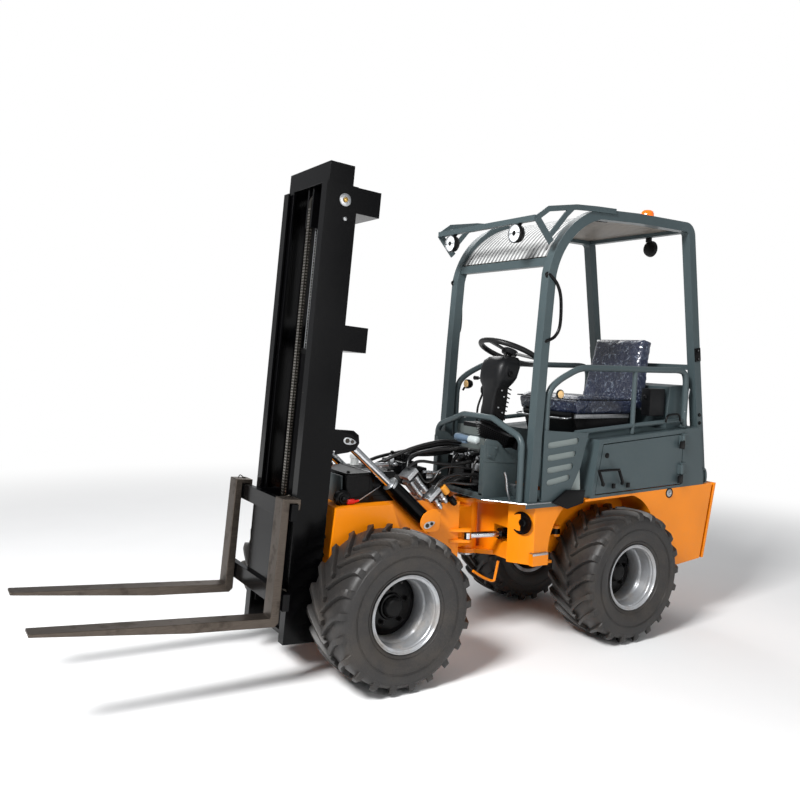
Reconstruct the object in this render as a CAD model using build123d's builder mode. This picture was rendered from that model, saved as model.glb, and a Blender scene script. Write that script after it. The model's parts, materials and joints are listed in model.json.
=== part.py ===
from build123d import *
import os
from math import atan2, cos, degrees, hypot, radians, sin, sqrt

# Compact articulated rough terrain forklift, millimetres.
# The origin is the middle of the overall box, on the ground.
# +X points to the fork tips, +Y to the left, +Z up.

os.makedirs("parts", exist_ok=True)

# Overall reach from the rear axle
WHEELBASE = 1370
TAIL_REACH = 757
MAST_PIVOT_REACH = 1590
MAST_LEAN = 4
FORK_FRONT = 305
BLADE_LENGTH = 906
BLADE_TIP_TOP = 40
TIP_THICKNESS = 12
lean = radians(MAST_LEAN)
FORK_TIP_REACH = (
    MAST_PIVOT_REACH
    + (FORK_FRONT + BLADE_LENGTH) * cos(lean)
    - (BLADE_TIP_TOP - TIP_THICKNESS) * sin(lean)
)
REAR_AXLE_X = (TAIL_REACH - FORK_TIP_REACH) / 2
FRONT_AXLE_X = REAR_AXLE_X + WHEELBASE
PIVOT_X = REAR_AXLE_X + WHEELBASE / 2

# Clearances
SEAT_GAP = 0.3
MOVING_GAP = 6

# Wheels
TYRE_DIAMETER = 684
TYRE_WIDTH = 305
OVERALL_WIDTH = 1080
RIM_SEAT_DIAMETER = 304
RIM_FLANGE_DIAMETER = 338
RIM_INSET = 18
RIM_SHEET = 7
DISC_RECESS = 155
DISC_THICKNESS = 9
HUB_DIAMETER = 124
HUB_LENGTH = 80
SPINDLE_DIAMETER = 60
TYRE_Y = (OVERALL_WIDTH - TYRE_WIDTH) / 2
AXLE_Z = TYRE_DIAMETER / 2
TYRE_INNER_Y = TYRE_Y - TYRE_WIDTH / 2
RIM_HALF_WIDTH = TYRE_WIDTH / 2 - RIM_INSET
DISC_Y = RIM_HALF_WIDTH - DISC_RECESS

# Axles
AXLE_TUBE_DIAMETER = 96
AXLE_FLANGE_DIAMETER = 150
AXLE_FLANGE_THICKNESS = 18
AXLE_END_Y = TYRE_Y + DISC_Y - HUB_LENGTH / 2 - MOVING_GAP

# Plate frames
PLATE = 12
CHASSIS_TYRE_GAP = 9
CHASSIS_HALF_WIDTH = TYRE_INNER_Y - CHASSIS_TYRE_GAP
NARROW_HALF_WIDTH = CHASSIS_HALF_WIDTH - 76
BODY_HALF_WIDTH = 415
FLOOR_Z = 750
FLOOR_THICKNESS = 6
FLOOR_HALF_WIDTH = BODY_HALF_WIDTH - 11
PIVOT_PIN_DIAMETER = 60
YOKE_TOP_Z = 715
YOKE_BOTTOM_Z = 432
YOKE_THICKNESS = 22
KNUCKLE_DIAMETER = 110
FRONT_HEAD_TOP_Z = 722

# Steering cylinder
STEER_BASE = (310, CHASSIS_HALF_WIDTH + 36)
STEER_EYE = (810, NARROW_HALF_WIDTH + 20)
STEER_Z = 556
STEER_EYE_HALF = 14
STEER_BARREL_DIAMETER = 56
TILT_PIN_DIAMETER = 30

# Mast, measured in its own leaning frame: x forward, z along the rails
MAST_PIVOT_X = REAR_AXLE_X + MAST_PIVOT_REACH
MAST_PIVOT_Z = 285
MAST_FRONT = 200
RAIL_DEPTH = 150
MAST_TYRE_GAP = 13
OUTER_HALF_WIDTH = TYRE_INNER_Y - MAST_TYRE_GAP
OUTER_WEB = 12
OUTER_FLANGE = 10
OUTER_FLANGE_REACH = 50
OUTER_BOTTOM = -118
OUTER_TOP = 1852
INNER_WEB = 12
INNER_FLANGE = 12
INNER_FLANGE_REACH = 53
INNER_RAISED = 90
BEAM_DEPTH = 115
BEAM_HEIGHT = 110
TOP_BEAM_Z = 1795
MIDDLE_BEAM_Z = 1205
HEAD_HEIGHT = 86

INNER_HALF_WIDTH = OUTER_HALF_WIDTH - OUTER_WEB - MOVING_GAP
INNER_FRONT = MAST_FRONT - OUTER_FLANGE - MOVING_GAP
INNER_DEPTH = RAIL_DEPTH - 2 * (OUTER_FLANGE + MOVING_GAP)
INNER_BACK = INNER_FRONT - INNER_DEPTH
INNER_BOTTOM = OUTER_BOTTOM + INNER_RAISED
INNER_TOP = OUTER_TOP + INNER_RAISED
MAST_BACK = MAST_FRONT - RAIL_DEPTH

MAST_FORWARD = (cos(lean), 0, sin(lean))
MAST_UP = (-sin(lean), 0, cos(lean))
MAST_FRAME = Plane(origin=(MAST_PIVOT_X, 0, MAST_PIVOT_Z), x_dir=MAST_FORWARD, z_dir=MAST_UP)


def at_y(y):
    """Side view plane at a distance left of the middle, x forward and z up."""
    return Plane.XZ.offset(-y)


def mast_side(y):
    """Side view plane in the frame of the leaning mast."""
    return Plane(origin=(MAST_PIVOT_X, y, MAST_PIVOT_Z), x_dir=MAST_FORWARD, z_dir=(0, -1, 0))


def mast_point(x, z):
    """Place of a mast point in the vehicle, as x and z."""
    return (
        MAST_PIVOT_X + x * cos(lean) - z * sin(lean),
        MAST_PIVOT_Z + x * sin(lean) + z * cos(lean),
    )


def from_rear_axle(*points):
    """Side view points given from the rear axle, as places in the vehicle."""
    return [(REAR_AXLE_X + x, z) for x, z in points]


# Wheels: tyres and rims
WHEELS = (
    # name, axle x, side
    ("rear_left", REAR_AXLE_X, 1),
    ("rear_right", REAR_AXLE_X, -1),
    ("front_left", FRONT_AXLE_X, 1),
    ("front_right", FRONT_AXLE_X, -1),
)
BEAD_HALF_WIDTH = RIM_HALF_WIDTH - 12
SIDEWALL_RADIUS = 262
SHOULDER_HALF_WIDTH = TYRE_WIDTH / 2 - 12
SHOULDER_RADIUS = TYRE_DIAMETER / 2 - 16
for name, axle_x, side in WHEELS:
    wheel_plane = Plane(
        origin=(axle_x, side * TYRE_Y, AXLE_Z), x_dir=(0, side, 0), z_dir=(-side, 0, 0)
    )
    tyre_bore = RIM_SEAT_DIAMETER / 2 + SEAT_GAP
    with BuildPart() as tyre:
        with BuildSketch(wheel_plane):
            with BuildLine():
                Polyline(
                    (-BEAD_HALF_WIDTH, RIM_FLANGE_DIAMETER / 2),
                    (-BEAD_HALF_WIDTH, tyre_bore),
                    (BEAD_HALF_WIDTH, tyre_bore),
                    (BEAD_HALF_WIDTH, RIM_FLANGE_DIAMETER / 2),
                )
                ThreePointArc(
                    (BEAD_HALF_WIDTH, RIM_FLANGE_DIAMETER / 2),
                    (TYRE_WIDTH / 2, SIDEWALL_RADIUS),
                    (SHOULDER_HALF_WIDTH, SHOULDER_RADIUS),
                )
                ThreePointArc(
                    (SHOULDER_HALF_WIDTH, SHOULDER_RADIUS),
                    (0, TYRE_DIAMETER / 2),
                    (-SHOULDER_HALF_WIDTH, SHOULDER_RADIUS),
                )
                ThreePointArc(
                    (-SHOULDER_HALF_WIDTH, SHOULDER_RADIUS),
                    (-TYRE_WIDTH / 2, SIDEWALL_RADIUS),
                    (-BEAD_HALF_WIDTH, RIM_FLANGE_DIAMETER / 2),
                )
            make_face()
        revolve(axis=Axis((axle_x, side * TYRE_Y, AXLE_Z), (0, 1, 0)))
    tyre.part.label = f"tyre_{name}"
    export_step(tyre.part, f"parts/tyre_{name}.step")

    seat_radius = RIM_SEAT_DIAMETER / 2
    flange_radius = RIM_FLANGE_DIAMETER / 2
    with BuildPart() as rim:
        with BuildSketch(wheel_plane):
            with BuildLine():
                Polyline(
                    (-RIM_HALF_WIDTH, flange_radius),
                    (-RIM_HALF_WIDTH + RIM_SHEET, flange_radius),
                    (-RIM_HALF_WIDTH + RIM_SHEET, seat_radius),
                    (RIM_HALF_WIDTH - RIM_SHEET, seat_radius),
                    (RIM_HALF_WIDTH - RIM_SHEET, flange_radius),
                    (RIM_HALF_WIDTH, flange_radius),
                    (RIM_HALF_WIDTH, seat_radius - RIM_SHEET),
                    (DISC_Y + DISC_THICKNESS, seat_radius - RIM_SHEET),
                    (DISC_Y + DISC_THICKNESS, HUB_DIAMETER / 2),
                    (DISC_Y + HUB_LENGTH / 2, HUB_DIAMETER / 2 - 8),
                    (DISC_Y + HUB_LENGTH / 2, 0),
                    (DISC_Y + HUB_LENGTH / 2 - 12, 0),
                    (DISC_Y + HUB_LENGTH / 2 - 12, SPINDLE_DIAMETER / 2 + SEAT_GAP),
                    (DISC_Y - HUB_LENGTH / 2, SPINDLE_DIAMETER / 2 + SEAT_GAP),
                    (DISC_Y - HUB_LENGTH / 2, HUB_DIAMETER / 2),
                    (DISC_Y, HUB_DIAMETER / 2),
                    (DISC_Y, seat_radius - RIM_SHEET),
                    (-RIM_HALF_WIDTH, seat_radius - RIM_SHEET),
                    close=True,
                )
            make_face()
        revolve(axis=Axis((axle_x, side * TYRE_Y, AXLE_Z), (0, 1, 0)))
    rim.part.label = f"rim_{name}"
    export_step(rim.part, f"parts/rim_{name}.step")

# Axles: a beam with end flanges, spindles in the hubs and a differential in the middle
DIFFERENTIAL_DIAMETER = 190
DIFFERENTIAL_WIDTH = 120
SPINDLE_END_Y = TYRE_Y + DISC_Y + HUB_LENGTH / 2 - 12 - MOVING_GAP
AXLE_PAD = 70
for name, axle_x in (("rear_axle", REAR_AXLE_X), ("front_axle", FRONT_AXLE_X)):
    with BuildPart() as axle:
        with BuildSketch(Plane.XZ.offset(-AXLE_END_Y)):
            with Locations((axle_x, AXLE_Z)):
                Circle(AXLE_TUBE_DIAMETER / 2)
        extrude(amount=2 * AXLE_END_Y)
        for side in (1, -1):
            with BuildSketch(at_y(side * AXLE_END_Y)):
                with Locations((axle_x, AXLE_Z)):
                    Circle(AXLE_FLANGE_DIAMETER / 2)
            extrude(amount=side * AXLE_FLANGE_THICKNESS)
            with BuildSketch(at_y(side * AXLE_END_Y)):
                with Locations((axle_x, AXLE_Z)):
                    Circle(SPINDLE_DIAMETER / 2)
            extrude(amount=-side * (SPINDLE_END_Y - AXLE_END_Y))
        with BuildSketch(at_y(DIFFERENTIAL_WIDTH / 2)):
            with Locations((axle_x, AXLE_Z)):
                Circle(DIFFERENTIAL_DIAMETER / 2)
        extrude(amount=DIFFERENTIAL_WIDTH)
        with Locations((axle_x, 0, AXLE_Z + AXLE_TUBE_DIAMETER / 4)):
            Box(AXLE_PAD, 2 * (CHASSIS_HALF_WIDTH - PLATE) - 2 * SEAT_GAP, AXLE_PAD)
    axle.part.label = name
    export_step(axle.part, f"parts/{name}.step")

# Line of the body's lower edge, which climbs slightly to the tail
BODY_LINE_Z = 750
BODY_LINE_SLOPE = -0.0325


def body_line(x):
    """Height of the body's lower edge at a place from the rear axle."""
    return BODY_LINE_Z + BODY_LINE_SLOPE * x


# Rear frame: chassis plates, outer panels with wheel arches, box under the floor, yoke and steps
PANEL_FRONT_X = 262
TAIL_TOP = (-723, body_line(-723))
TAIL_BOTTOM = (-650, 352)
PANEL_BOTTOM_X = -424
PANEL_BOTTOM_Z = 330
ARCH_CLEARANCE = 23
ARCH_CENTRE = (10, 355)
ARCH_RADIUS = TYRE_DIAMETER / 2 + ARCH_CLEARANCE
ARCH_TOP_GAP = 12
FENDER_SHEET = 8
BOX_HALF_WIDTH = BODY_HALF_WIDTH - 20
BOX_HEAD_X = 600
BOX_BOTTOM_Z = 434
BOX_CORNER_X = 572
BOX_WING = (645, CHASSIS_HALF_WIDTH + 55)
BOX_ARCH = ((474, BOX_BOTTOM_Z), (468, 575), (350, FLOOR_Z - 14))
HEAD_HALF_WIDTH = BOX_HALF_WIDTH - 61
FRAME_TOP_Z = FLOOR_Z - 14
STEP_X = (490, 588)
STEP_TOP_Z = 492
STEP_REACH = 16
DECK_FRONT_X = -548

arch_side = (ARCH_CENTRE[0] - ARCH_RADIUS, ARCH_CENTRE[1])
arch_end_angle = radians(130)
arch_end = (
    ARCH_CENTRE[0] + ARCH_RADIUS * cos(arch_end_angle),
    ARCH_CENTRE[1] + ARCH_RADIUS * sin(arch_end_angle),
)
arch_middle = (
    ARCH_CENTRE[0] + ARCH_RADIUS * cos(radians(155)),
    ARCH_CENTRE[1] + ARCH_RADIUS * sin(radians(155)),
)
arch_shoulder = (-165, 700)
arch_roof_start = (-80, body_line(-80) - ARCH_TOP_GAP)
arch_roof_end = (PANEL_FRONT_X, body_line(PANEL_FRONT_X) - ARCH_TOP_GAP)


def wheel_arch():
    """Open line of the rear wheel arch, from behind the wheel to its front."""
    low, middle, end, shoulder, start, stop = from_rear_axle(
        arch_side, arch_middle, arch_end, arch_shoulder, arch_roof_start, arch_roof_end
    )
    ThreePointArc(low, middle, end)
    ThreePointArc(end, shoulder, start)
    Line(start, stop)


with BuildPart() as rear_frame:
    # outer panels
    with BuildSketch(at_y(BODY_HALF_WIDTH)):
        with BuildLine():
            wheel_arch()
            Polyline(
                *from_rear_axle(
                    arch_roof_end,
                    (PANEL_FRONT_X, body_line(PANEL_FRONT_X)),
                    TAIL_TOP,
                    TAIL_BOTTOM,
                    (PANEL_BOTTOM_X, PANEL_BOTTOM_Z),
                    (arch_side[0], PANEL_BOTTOM_Z),
                    arch_side,
                )
            )
        make_face()
    extrude(amount=PLATE)
    # wheel house between panel and chassis
    with BuildSketch(at_y(BODY_HALF_WIDTH - PLATE)):
        with BuildLine():
            wheel_arch()
            Polyline(
                *from_rear_axle(
                    arch_roof_end,
                    (PANEL_FRONT_X, arch_roof_end[1] + FENDER_SHEET),
                    (arch_roof_start[0], arch_roof_start[1] + FENDER_SHEET),
                )
            )
            ThreePointArc(
                *from_rear_axle(
                    (arch_roof_start[0], arch_roof_start[1] + FENDER_SHEET),
                    (arch_shoulder[0] - FENDER_SHEET, arch_shoulder[1] + FENDER_SHEET),
                    (arch_end[0] - FENDER_SHEET, arch_end[1] + FENDER_SHEET),
                )
            )
            ThreePointArc(
                *from_rear_axle(
                    (arch_end[0] - FENDER_SHEET, arch_end[1] + FENDER_SHEET),
                    (arch_middle[0] - FENDER_SHEET, arch_middle[1]),
                    (arch_side[0] - FENDER_SHEET, arch_side[1]),
                )
            )
            Line(*from_rear_axle((arch_side[0] - FENDER_SHEET, arch_side[1]), arch_side))
        make_face()
    extrude(amount=BODY_HALF_WIDTH - PLATE - CHASSIS_HALF_WIDTH)
    # chassis plate inside the wheel, open round the axle tube
    with BuildSketch(at_y(CHASSIS_HALF_WIDTH)):
        Polygon(
            *from_rear_axle(
                TAIL_TOP,
                TAIL_BOTTOM,
                (-300, 330),
                (-110, 270),
                (110, 270),
                (300, BOX_BOTTOM_Z),
                (BOX_HEAD_X + PLATE, BOX_BOTTOM_Z),
                (BOX_HEAD_X + PLATE, FRAME_TOP_Z),
                (PANEL_FRONT_X, body_line(PANEL_FRONT_X) - ARCH_TOP_GAP),
            ),
            align=None,
        )
        with Locations((REAR_AXLE_X, AXLE_Z)):
            Circle(AXLE_TUBE_DIAMETER / 2 + SEAT_GAP, mode=Mode.SUBTRACT)
        with Locations((REAR_AXLE_X + 480, STEER_Z)):
            Rectangle(280, STEER_BARREL_DIAMETER + 16, mode=Mode.SUBTRACT)
    extrude(amount=PLATE)
    # side wall of the box under the floor
    with BuildSketch(at_y(BOX_HALF_WIDTH)):
        with BuildLine():
            ThreePointArc(*from_rear_axle(*BOX_ARCH))
            Polyline(
                *from_rear_axle(
                    BOX_ARCH[2],
                    (BOX_CORNER_X, FRAME_TOP_Z),
                    (BOX_CORNER_X, BOX_BOTTOM_Z),
                    BOX_ARCH[0],
                )
            )
        make_face()
    extrude(amount=PLATE)
    # curved sheet behind the wheel's front edge
    with BuildSketch(at_y(BOX_HALF_WIDTH - PLATE)):
        with BuildLine():
            low, middle, top = from_rear_axle(*BOX_ARCH)
            ThreePointArc(low, middle, top)
            Line(top, (top[0] + FENDER_SHEET, top[1]))
            ThreePointArc(
                (top[0] + FENDER_SHEET, top[1]),
                (middle[0] + FENDER_SHEET, middle[1]),
                (low[0] + FENDER_SHEET, low[1]),
            )
            Line((low[0] + FENDER_SHEET, low[1]), low)
        make_face()
    extrude(amount=BOX_HALF_WIDTH - PLATE - CHASSIS_HALF_WIDTH)
    # slanting wing from the side wall to the pivot
    with BuildSketch(Plane.XY.offset(BOX_BOTTOM_Z)):
        with BuildLine():
            wing = Line(
                (REAR_AXLE_X + BOX_CORNER_X, BOX_HALF_WIDTH),
                (REAR_AXLE_X + BOX_WING[0], BOX_WING[1]),
            )
            wing_turn = atan2((wing @ 1).Y - (wing @ 0).Y, (wing @ 1).X - (wing @ 0).X) - radians(90)
            wing_in = (PLATE * cos(wing_turn), PLATE * sin(wing_turn))
            Polyline(
                wing @ 1,
                ((wing @ 1).X + wing_in[0], (wing @ 1).Y + wing_in[1]),
                ((wing @ 0).X + wing_in[0], (wing @ 0).Y + wing_in[1]),
                wing @ 0,
            )
        make_face()
    extrude(amount=FRAME_TOP_Z - BOX_BOTTOM_Z)
    # step on the side wall, open below
    with BuildSketch(Plane.XY.offset(BOX_BOTTOM_Z)):
        with Locations((REAR_AXLE_X + (STEP_X[0] + STEP_X[1]) / 2, BOX_HALF_WIDTH - PLATE / 2 + STEP_REACH / 2)):
            Rectangle(STEP_X[1] - STEP_X[0], STEP_REACH + PLATE)
    extrude(amount=STEP_TOP_Z - BOX_BOTTOM_Z)
    mirror(about=Plane.XZ)
    # head plate behind the pivot, open for the steering cylinder
    steer_run = (BOX_HEAD_X - STEER_BASE[0]) / (STEER_EYE[0] - STEER_BASE[0])
    steer_head_y = STEER_BASE[1] + (STEER_EYE[1] - STEER_BASE[1]) * steer_run
    with BuildSketch(Plane.YZ.offset(REAR_AXLE_X + BOX_HEAD_X)):
        with Locations((0, (BOX_BOTTOM_Z + FRAME_TOP_Z) / 2)):
            Rectangle(2 * HEAD_HALF_WIDTH, FRAME_TOP_Z - BOX_BOTTOM_Z)
        with Locations((steer_head_y, STEER_Z)):
            Rectangle(142, STEER_BARREL_DIAMETER + 16, mode=Mode.SUBTRACT)
    extrude(amount=PLATE)
    # slot for the steering cylinder in the curved sheet
    with Locations((REAR_AXLE_X + BOX_ARCH[1][0], STEER_BASE[1] - 30, STEER_Z)):
        Box(60, 120, STEER_BARREL_DIAMETER + 16, mode=Mode.SUBTRACT)
    # bracket and pin at the steering cylinder's base
    for plate_z in (STEER_Z - STEER_EYE_HALF - SEAT_GAP - PLATE, STEER_Z + STEER_EYE_HALF + SEAT_GAP):
        with BuildSketch(Plane.XY.offset(plate_z)):
            with Locations((REAR_AXLE_X + STEER_BASE[0], STEER_BASE[1])):
                Circle(24)
            with Locations((REAR_AXLE_X + STEER_BASE[0], (STEER_BASE[1] + CHASSIS_HALF_WIDTH - 2) / 2)):
                Rectangle(48, STEER_BASE[1] - CHASSIS_HALF_WIDTH + 2)
        extrude(amount=PLATE)
    with BuildSketch(Plane.XY.offset(STEER_Z - STEER_EYE_HALF - PLATE)):
        with Locations((REAR_AXLE_X + STEER_BASE[0], STEER_BASE[1])):
            Circle(TILT_PIN_DIAMETER / 2)
    extrude(amount=2 * (STEER_EYE_HALF + PLATE))
    # floor of the box
    with BuildSketch(Plane.XY.offset(BOX_BOTTOM_Z)):
        Polygon(
            *[
                (REAR_AXLE_X + x, y)
                for x, y in (
                    (BOX_ARCH[0][0] - 30, -BOX_HALF_WIDTH + PLATE / 2),
                    (BOX_CORNER_X - 8, -BOX_HALF_WIDTH + PLATE / 2),
                    (BOX_HEAD_X + PLATE / 2, -HEAD_HALF_WIDTH + 4),
                    (BOX_HEAD_X + PLATE / 2, HEAD_HALF_WIDTH - 4),
                    (BOX_CORNER_X - 8, BOX_HALF_WIDTH - PLATE / 2),
                    (BOX_ARCH[0][0] - 30, BOX_HALF_WIDTH - PLATE / 2),
                )
            ],
            align=None,
        )
    extrude(amount=PLATE)
    # yoke plates round the pivot pin
    for yoke_z in (YOKE_BOTTOM_Z, YOKE_TOP_Z - YOKE_THICKNESS):
        with BuildSketch(Plane.XY.offset(yoke_z)):
            with BuildLine():
                Polyline(
                    (PIVOT_X, 72),
                    (REAR_AXLE_X + BOX_HEAD_X, NARROW_HALF_WIDTH),
                    (REAR_AXLE_X + BOX_HEAD_X, -NARROW_HALF_WIDTH),
                    (PIVOT_X, -72),
                )
                ThreePointArc((PIVOT_X, -72), (PIVOT_X + 72, 0), (PIVOT_X, 72))
            make_face()
            with Locations((PIVOT_X, 0)):
                Circle(PIVOT_PIN_DIAMETER / 2 + SEAT_GAP, mode=Mode.SUBTRACT)
        extrude(amount=YOKE_THICKNESS)
    # slanting tail wall between the panels and the deck in front of it
    with BuildSketch(at_y(BODY_HALF_WIDTH - PLATE)):
        Polygon(
            *from_rear_axle(
                TAIL_TOP,
                TAIL_BOTTOM,
                (TAIL_BOTTOM[0] + PLATE, TAIL_BOTTOM[1]),
                (TAIL_TOP[0] + PLATE, body_line(TAIL_TOP[0] + PLATE) - PLATE),
                (DECK_FRONT_X, body_line(DECK_FRONT_X) - PLATE),
                (DECK_FRONT_X, body_line(DECK_FRONT_X)),
            ),
            align=None,
        )
    extrude(amount=2 * (BODY_HALF_WIDTH - PLATE))
rear_frame.part.label = "rear_frame"
export_step(rear_frame.part, "parts/rear_frame.step")

# Tail plate: a heavy slanting counterweight plate on four pads, with the tow clevis
TAIL_GAP = 20
TAIL_PLATE = 14
TOW_BORE = 26
TOW_Z = 455
TOW_WIDTH = 90
TOW_PLATE = 16
TOW_MOUTH = 36
tail_slope = (TAIL_BOTTOM[0] - TAIL_TOP[0]) / (TAIL_TOP[1] - TAIL_BOTTOM[1])


def tail_x(z, out):
    """Place of the tail wall's face at a height, moved out by a distance."""
    return REAR_AXLE_X + TAIL_TOP[0] + (TAIL_TOP[1] - z) * tail_slope - out


TAIL_OUT = TAIL_REACH + TAIL_TOP[0]
with BuildPart() as tail_plate:
    with BuildSketch(at_y(BODY_HALF_WIDTH)):
        Polygon(
            (tail_x(TAIL_TOP[1], TAIL_OUT), TAIL_TOP[1]),
            (tail_x(TAIL_BOTTOM[1], TAIL_OUT), TAIL_BOTTOM[1]),
            (tail_x(TAIL_BOTTOM[1], TAIL_OUT - TAIL_PLATE), TAIL_BOTTOM[1]),
            (tail_x(TAIL_TOP[1], TAIL_OUT - TAIL_PLATE), TAIL_TOP[1]),
            align=None,
        )
    extrude(amount=2 * BODY_HALF_WIDTH)
    for pad_y in (-300, 220):
        for pad_z in (420, 660):
            with BuildSketch(at_y(pad_y + 80)):
                Polygon(
                    (tail_x(pad_z, 0), pad_z),
                    (tail_x(pad_z + 60, 0), pad_z + 60),
                    (tail_x(pad_z + 60, TAIL_OUT - TAIL_PLATE), pad_z + 60),
                    (tail_x(pad_z, TAIL_OUT - TAIL_PLATE), pad_z),
                    align=None,
                )
            extrude(amount=80)
    for tow_z in (TOW_Z - TOW_MOUTH / 2 - TOW_PLATE, TOW_Z + TOW_MOUTH / 2):
        with BuildSketch(Plane.XY.offset(tow_z)):
            with Locations((REAR_AXLE_X - TAIL_REACH + 40, 0)):
                Rectangle(76, TOW_WIDTH)
            with Locations((REAR_AXLE_X - TAIL_REACH + TOW_BORE, 0)):
                Circle(TOW_BORE / 2, mode=Mode.SUBTRACT)
        extrude(amount=TOW_PLATE)
tail_plate.part.label = "tail_plate"
export_step(tail_plate.part, "parts/tail_plate.step")

# Pivot pin with a head, standing in the yoke
with BuildPart() as pivot_pin:
    with BuildSketch(Plane.XY.offset(YOKE_BOTTOM_Z - 8)):
        with Locations((PIVOT_X, 0)):
            Circle(PIVOT_PIN_DIAMETER / 2)
    extrude(amount=YOKE_TOP_Z - YOKE_BOTTOM_Z + 8)
    with BuildSketch(Plane.XY.offset(YOKE_BOTTOM_Z - 16)):
        with Locations((PIVOT_X, 0)):
            Circle(PIVOT_PIN_DIAMETER / 2 + 12)
    extrude(amount=16)
pivot_pin.part.label = "pivot_pin"
export_step(pivot_pin.part, "parts/pivot_pin.step")

# Engine: one block on four feet between the chassis plates
ENGINE_LENGTH = 440
ENGINE_SIDE_GAP = 46
ENGINE_WIDTH = 2 * (CHASSIS_HALF_WIDTH - ENGINE_SIDE_GAP)
ENGINE_BOTTOM_Z = 470
ENGINE_HEIGHT = 500
ENGINE_X = REAR_AXLE_X - 300
with BuildPart() as engine_block:
    with BuildSketch(Plane.XY.offset(ENGINE_BOTTOM_Z)):
        with Locations((ENGINE_X, 0)):
            Rectangle(ENGINE_LENGTH, ENGINE_WIDTH)
    extrude(amount=ENGINE_HEIGHT)
    with BuildSketch(Plane.XY.offset(ENGINE_BOTTOM_Z + 30)):
        with Locations((ENGINE_X - ENGINE_LENGTH / 3, 0), (ENGINE_X + ENGINE_LENGTH / 3, 0)):
            Rectangle(70, 2 * (CHASSIS_HALF_WIDTH - PLATE - SEAT_GAP))
    extrude(amount=30)
engine_block.part.label = "engine_block"
export_step(engine_block.part, "parts/engine_block.step")

# Body shell under the seat, hollow, with side door openings
SHEET = 6
HOOD_FRONT_X = 224
HOOD_FRONT_TOP = (183, 1039)
HOOD_REAR_TOP_Z = 1092
POST_WIDTH = 50
POST_OUTER_Y = BODY_HALF_WIDTH - 23
REAR_POST_TOP_X = -448
REAR_POST_SLOPE = 0.158
ROOF_Z = 2172


def rear_post_x(z):
    """Middle of the rear post at a height, from the rear axle."""
    return REAR_POST_TOP_X - (ROOF_Z - z) * REAR_POST_SLOPE


POST_FACE = POST_WIDTH / 2 * sqrt(1 + REAR_POST_SLOPE**2)
hood_rear_top = (rear_post_x(HOOD_REAR_TOP_Z) + POST_FACE + SEAT_GAP, HOOD_REAR_TOP_Z)
hood_rear_low_z = body_line(rear_post_x(760) + POST_FACE)
hood_rear_low = (rear_post_x(hood_rear_low_z) + POST_FACE + SEAT_GAP, hood_rear_low_z)
HOOD_OUTLINE = (
    (HOOD_FRONT_X, body_line(HOOD_FRONT_X)),
    HOOD_FRONT_TOP,
    hood_rear_top,
    hood_rear_low,
)
DOOR_REAR_X = -457
DOOR_FRONT_X = 178
DOOR_LOW = 14
DOOR_TOP_DROP = 22
DOOR_THICKNESS = 16
DOOR_GAP = 5
HINGE_RADIUS = 10
HINGE_PIN_RADIUS = 5
HINGE_LENGTH = 50
HINGE_X = DOOR_REAR_X + DOOR_GAP + HINGE_RADIUS
HINGE_Y = BODY_HALF_WIDTH + HINGE_RADIUS + 1
HINGE_PLACES = (HOOD_FRONT_TOP[1] - 199, HOOD_FRONT_TOP[1] - 39)
LUG = 8
LUG_GAP = 2


def hood_top(x):
    """Height of the body's upper edge at a place from the rear axle."""
    run = HOOD_FRONT_TOP[0] - hood_rear_top[0]
    return HOOD_FRONT_TOP[1] + (HOOD_REAR_TOP_Z - HOOD_FRONT_TOP[1]) * (HOOD_FRONT_TOP[0] - x) / run


def door_outline(gap):
    """Side door's outline, made smaller by a gap all round."""
    front_low = DOOR_FRONT_X + 22
    return from_rear_axle(
        (DOOR_REAR_X + gap, body_line(DOOR_REAR_X) + DOOR_LOW + gap),
        (front_low - gap, body_line(front_low) + DOOR_LOW + gap),
        (DOOR_FRONT_X - 20 - gap, hood_top(DOOR_FRONT_X) - DOOR_TOP_DROP - gap),
        (DOOR_REAR_X + gap, hood_top(DOOR_REAR_X) - DOOR_TOP_DROP - gap),
    )


with BuildPart() as hood:
    with BuildSketch(at_y(BODY_HALF_WIDTH)):
        Polygon(*from_rear_axle(*HOOD_OUTLINE), align=None)
    extrude(amount=2 * BODY_HALF_WIDTH)
    with BuildSketch(at_y(BODY_HALF_WIDTH - SHEET)):
        Polygon(
            *from_rear_axle(
                (HOOD_FRONT_X - SHEET, body_line(HOOD_FRONT_X) - 20),
                (HOOD_FRONT_TOP[0] - SHEET, HOOD_FRONT_TOP[1] - SHEET),
                (hood_rear_top[0] + SHEET, HOOD_REAR_TOP_Z - SHEET),
                (hood_rear_low[0] + SHEET, hood_rear_low_z - 20),
            ),
            align=None,
        )
    extrude(amount=2 * (BODY_HALF_WIDTH - SHEET), mode=Mode.SUBTRACT)
    for side in (1, -1):
        with BuildSketch(at_y(side * (BODY_HALF_WIDTH + 1))):
            Polygon(*door_outline(0), align=None)
        extrude(amount=side * (SHEET + 2), mode=Mode.SUBTRACT)
    # hinge pins between lugs, behind each door
    for hinge_z in HINGE_PLACES:
        with BuildSketch(Plane.XY.offset(hinge_z - LUG_GAP - LUG)):
            for side in (1, -1):
                with Locations((REAR_AXLE_X + HINGE_X, side * HINGE_Y)):
                    Circle(HINGE_PIN_RADIUS)
        extrude(amount=HINGE_LENGTH + 2 * (LUG_GAP + LUG))
        for lug_z in (hinge_z - LUG_GAP - LUG, hinge_z + HINGE_LENGTH + LUG_GAP):
            with BuildSketch(Plane.XY.offset(lug_z)):
                for side in (1, -1):
                    with Locations((REAR_AXLE_X + HINGE_X - 14, side * (BODY_HALF_WIDTH + 8))):
                        Rectangle(38, 16)
            extrude(amount=LUG)
hood.part.label = "hood"
export_step(hood.part, "parts/hood.step")

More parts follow.
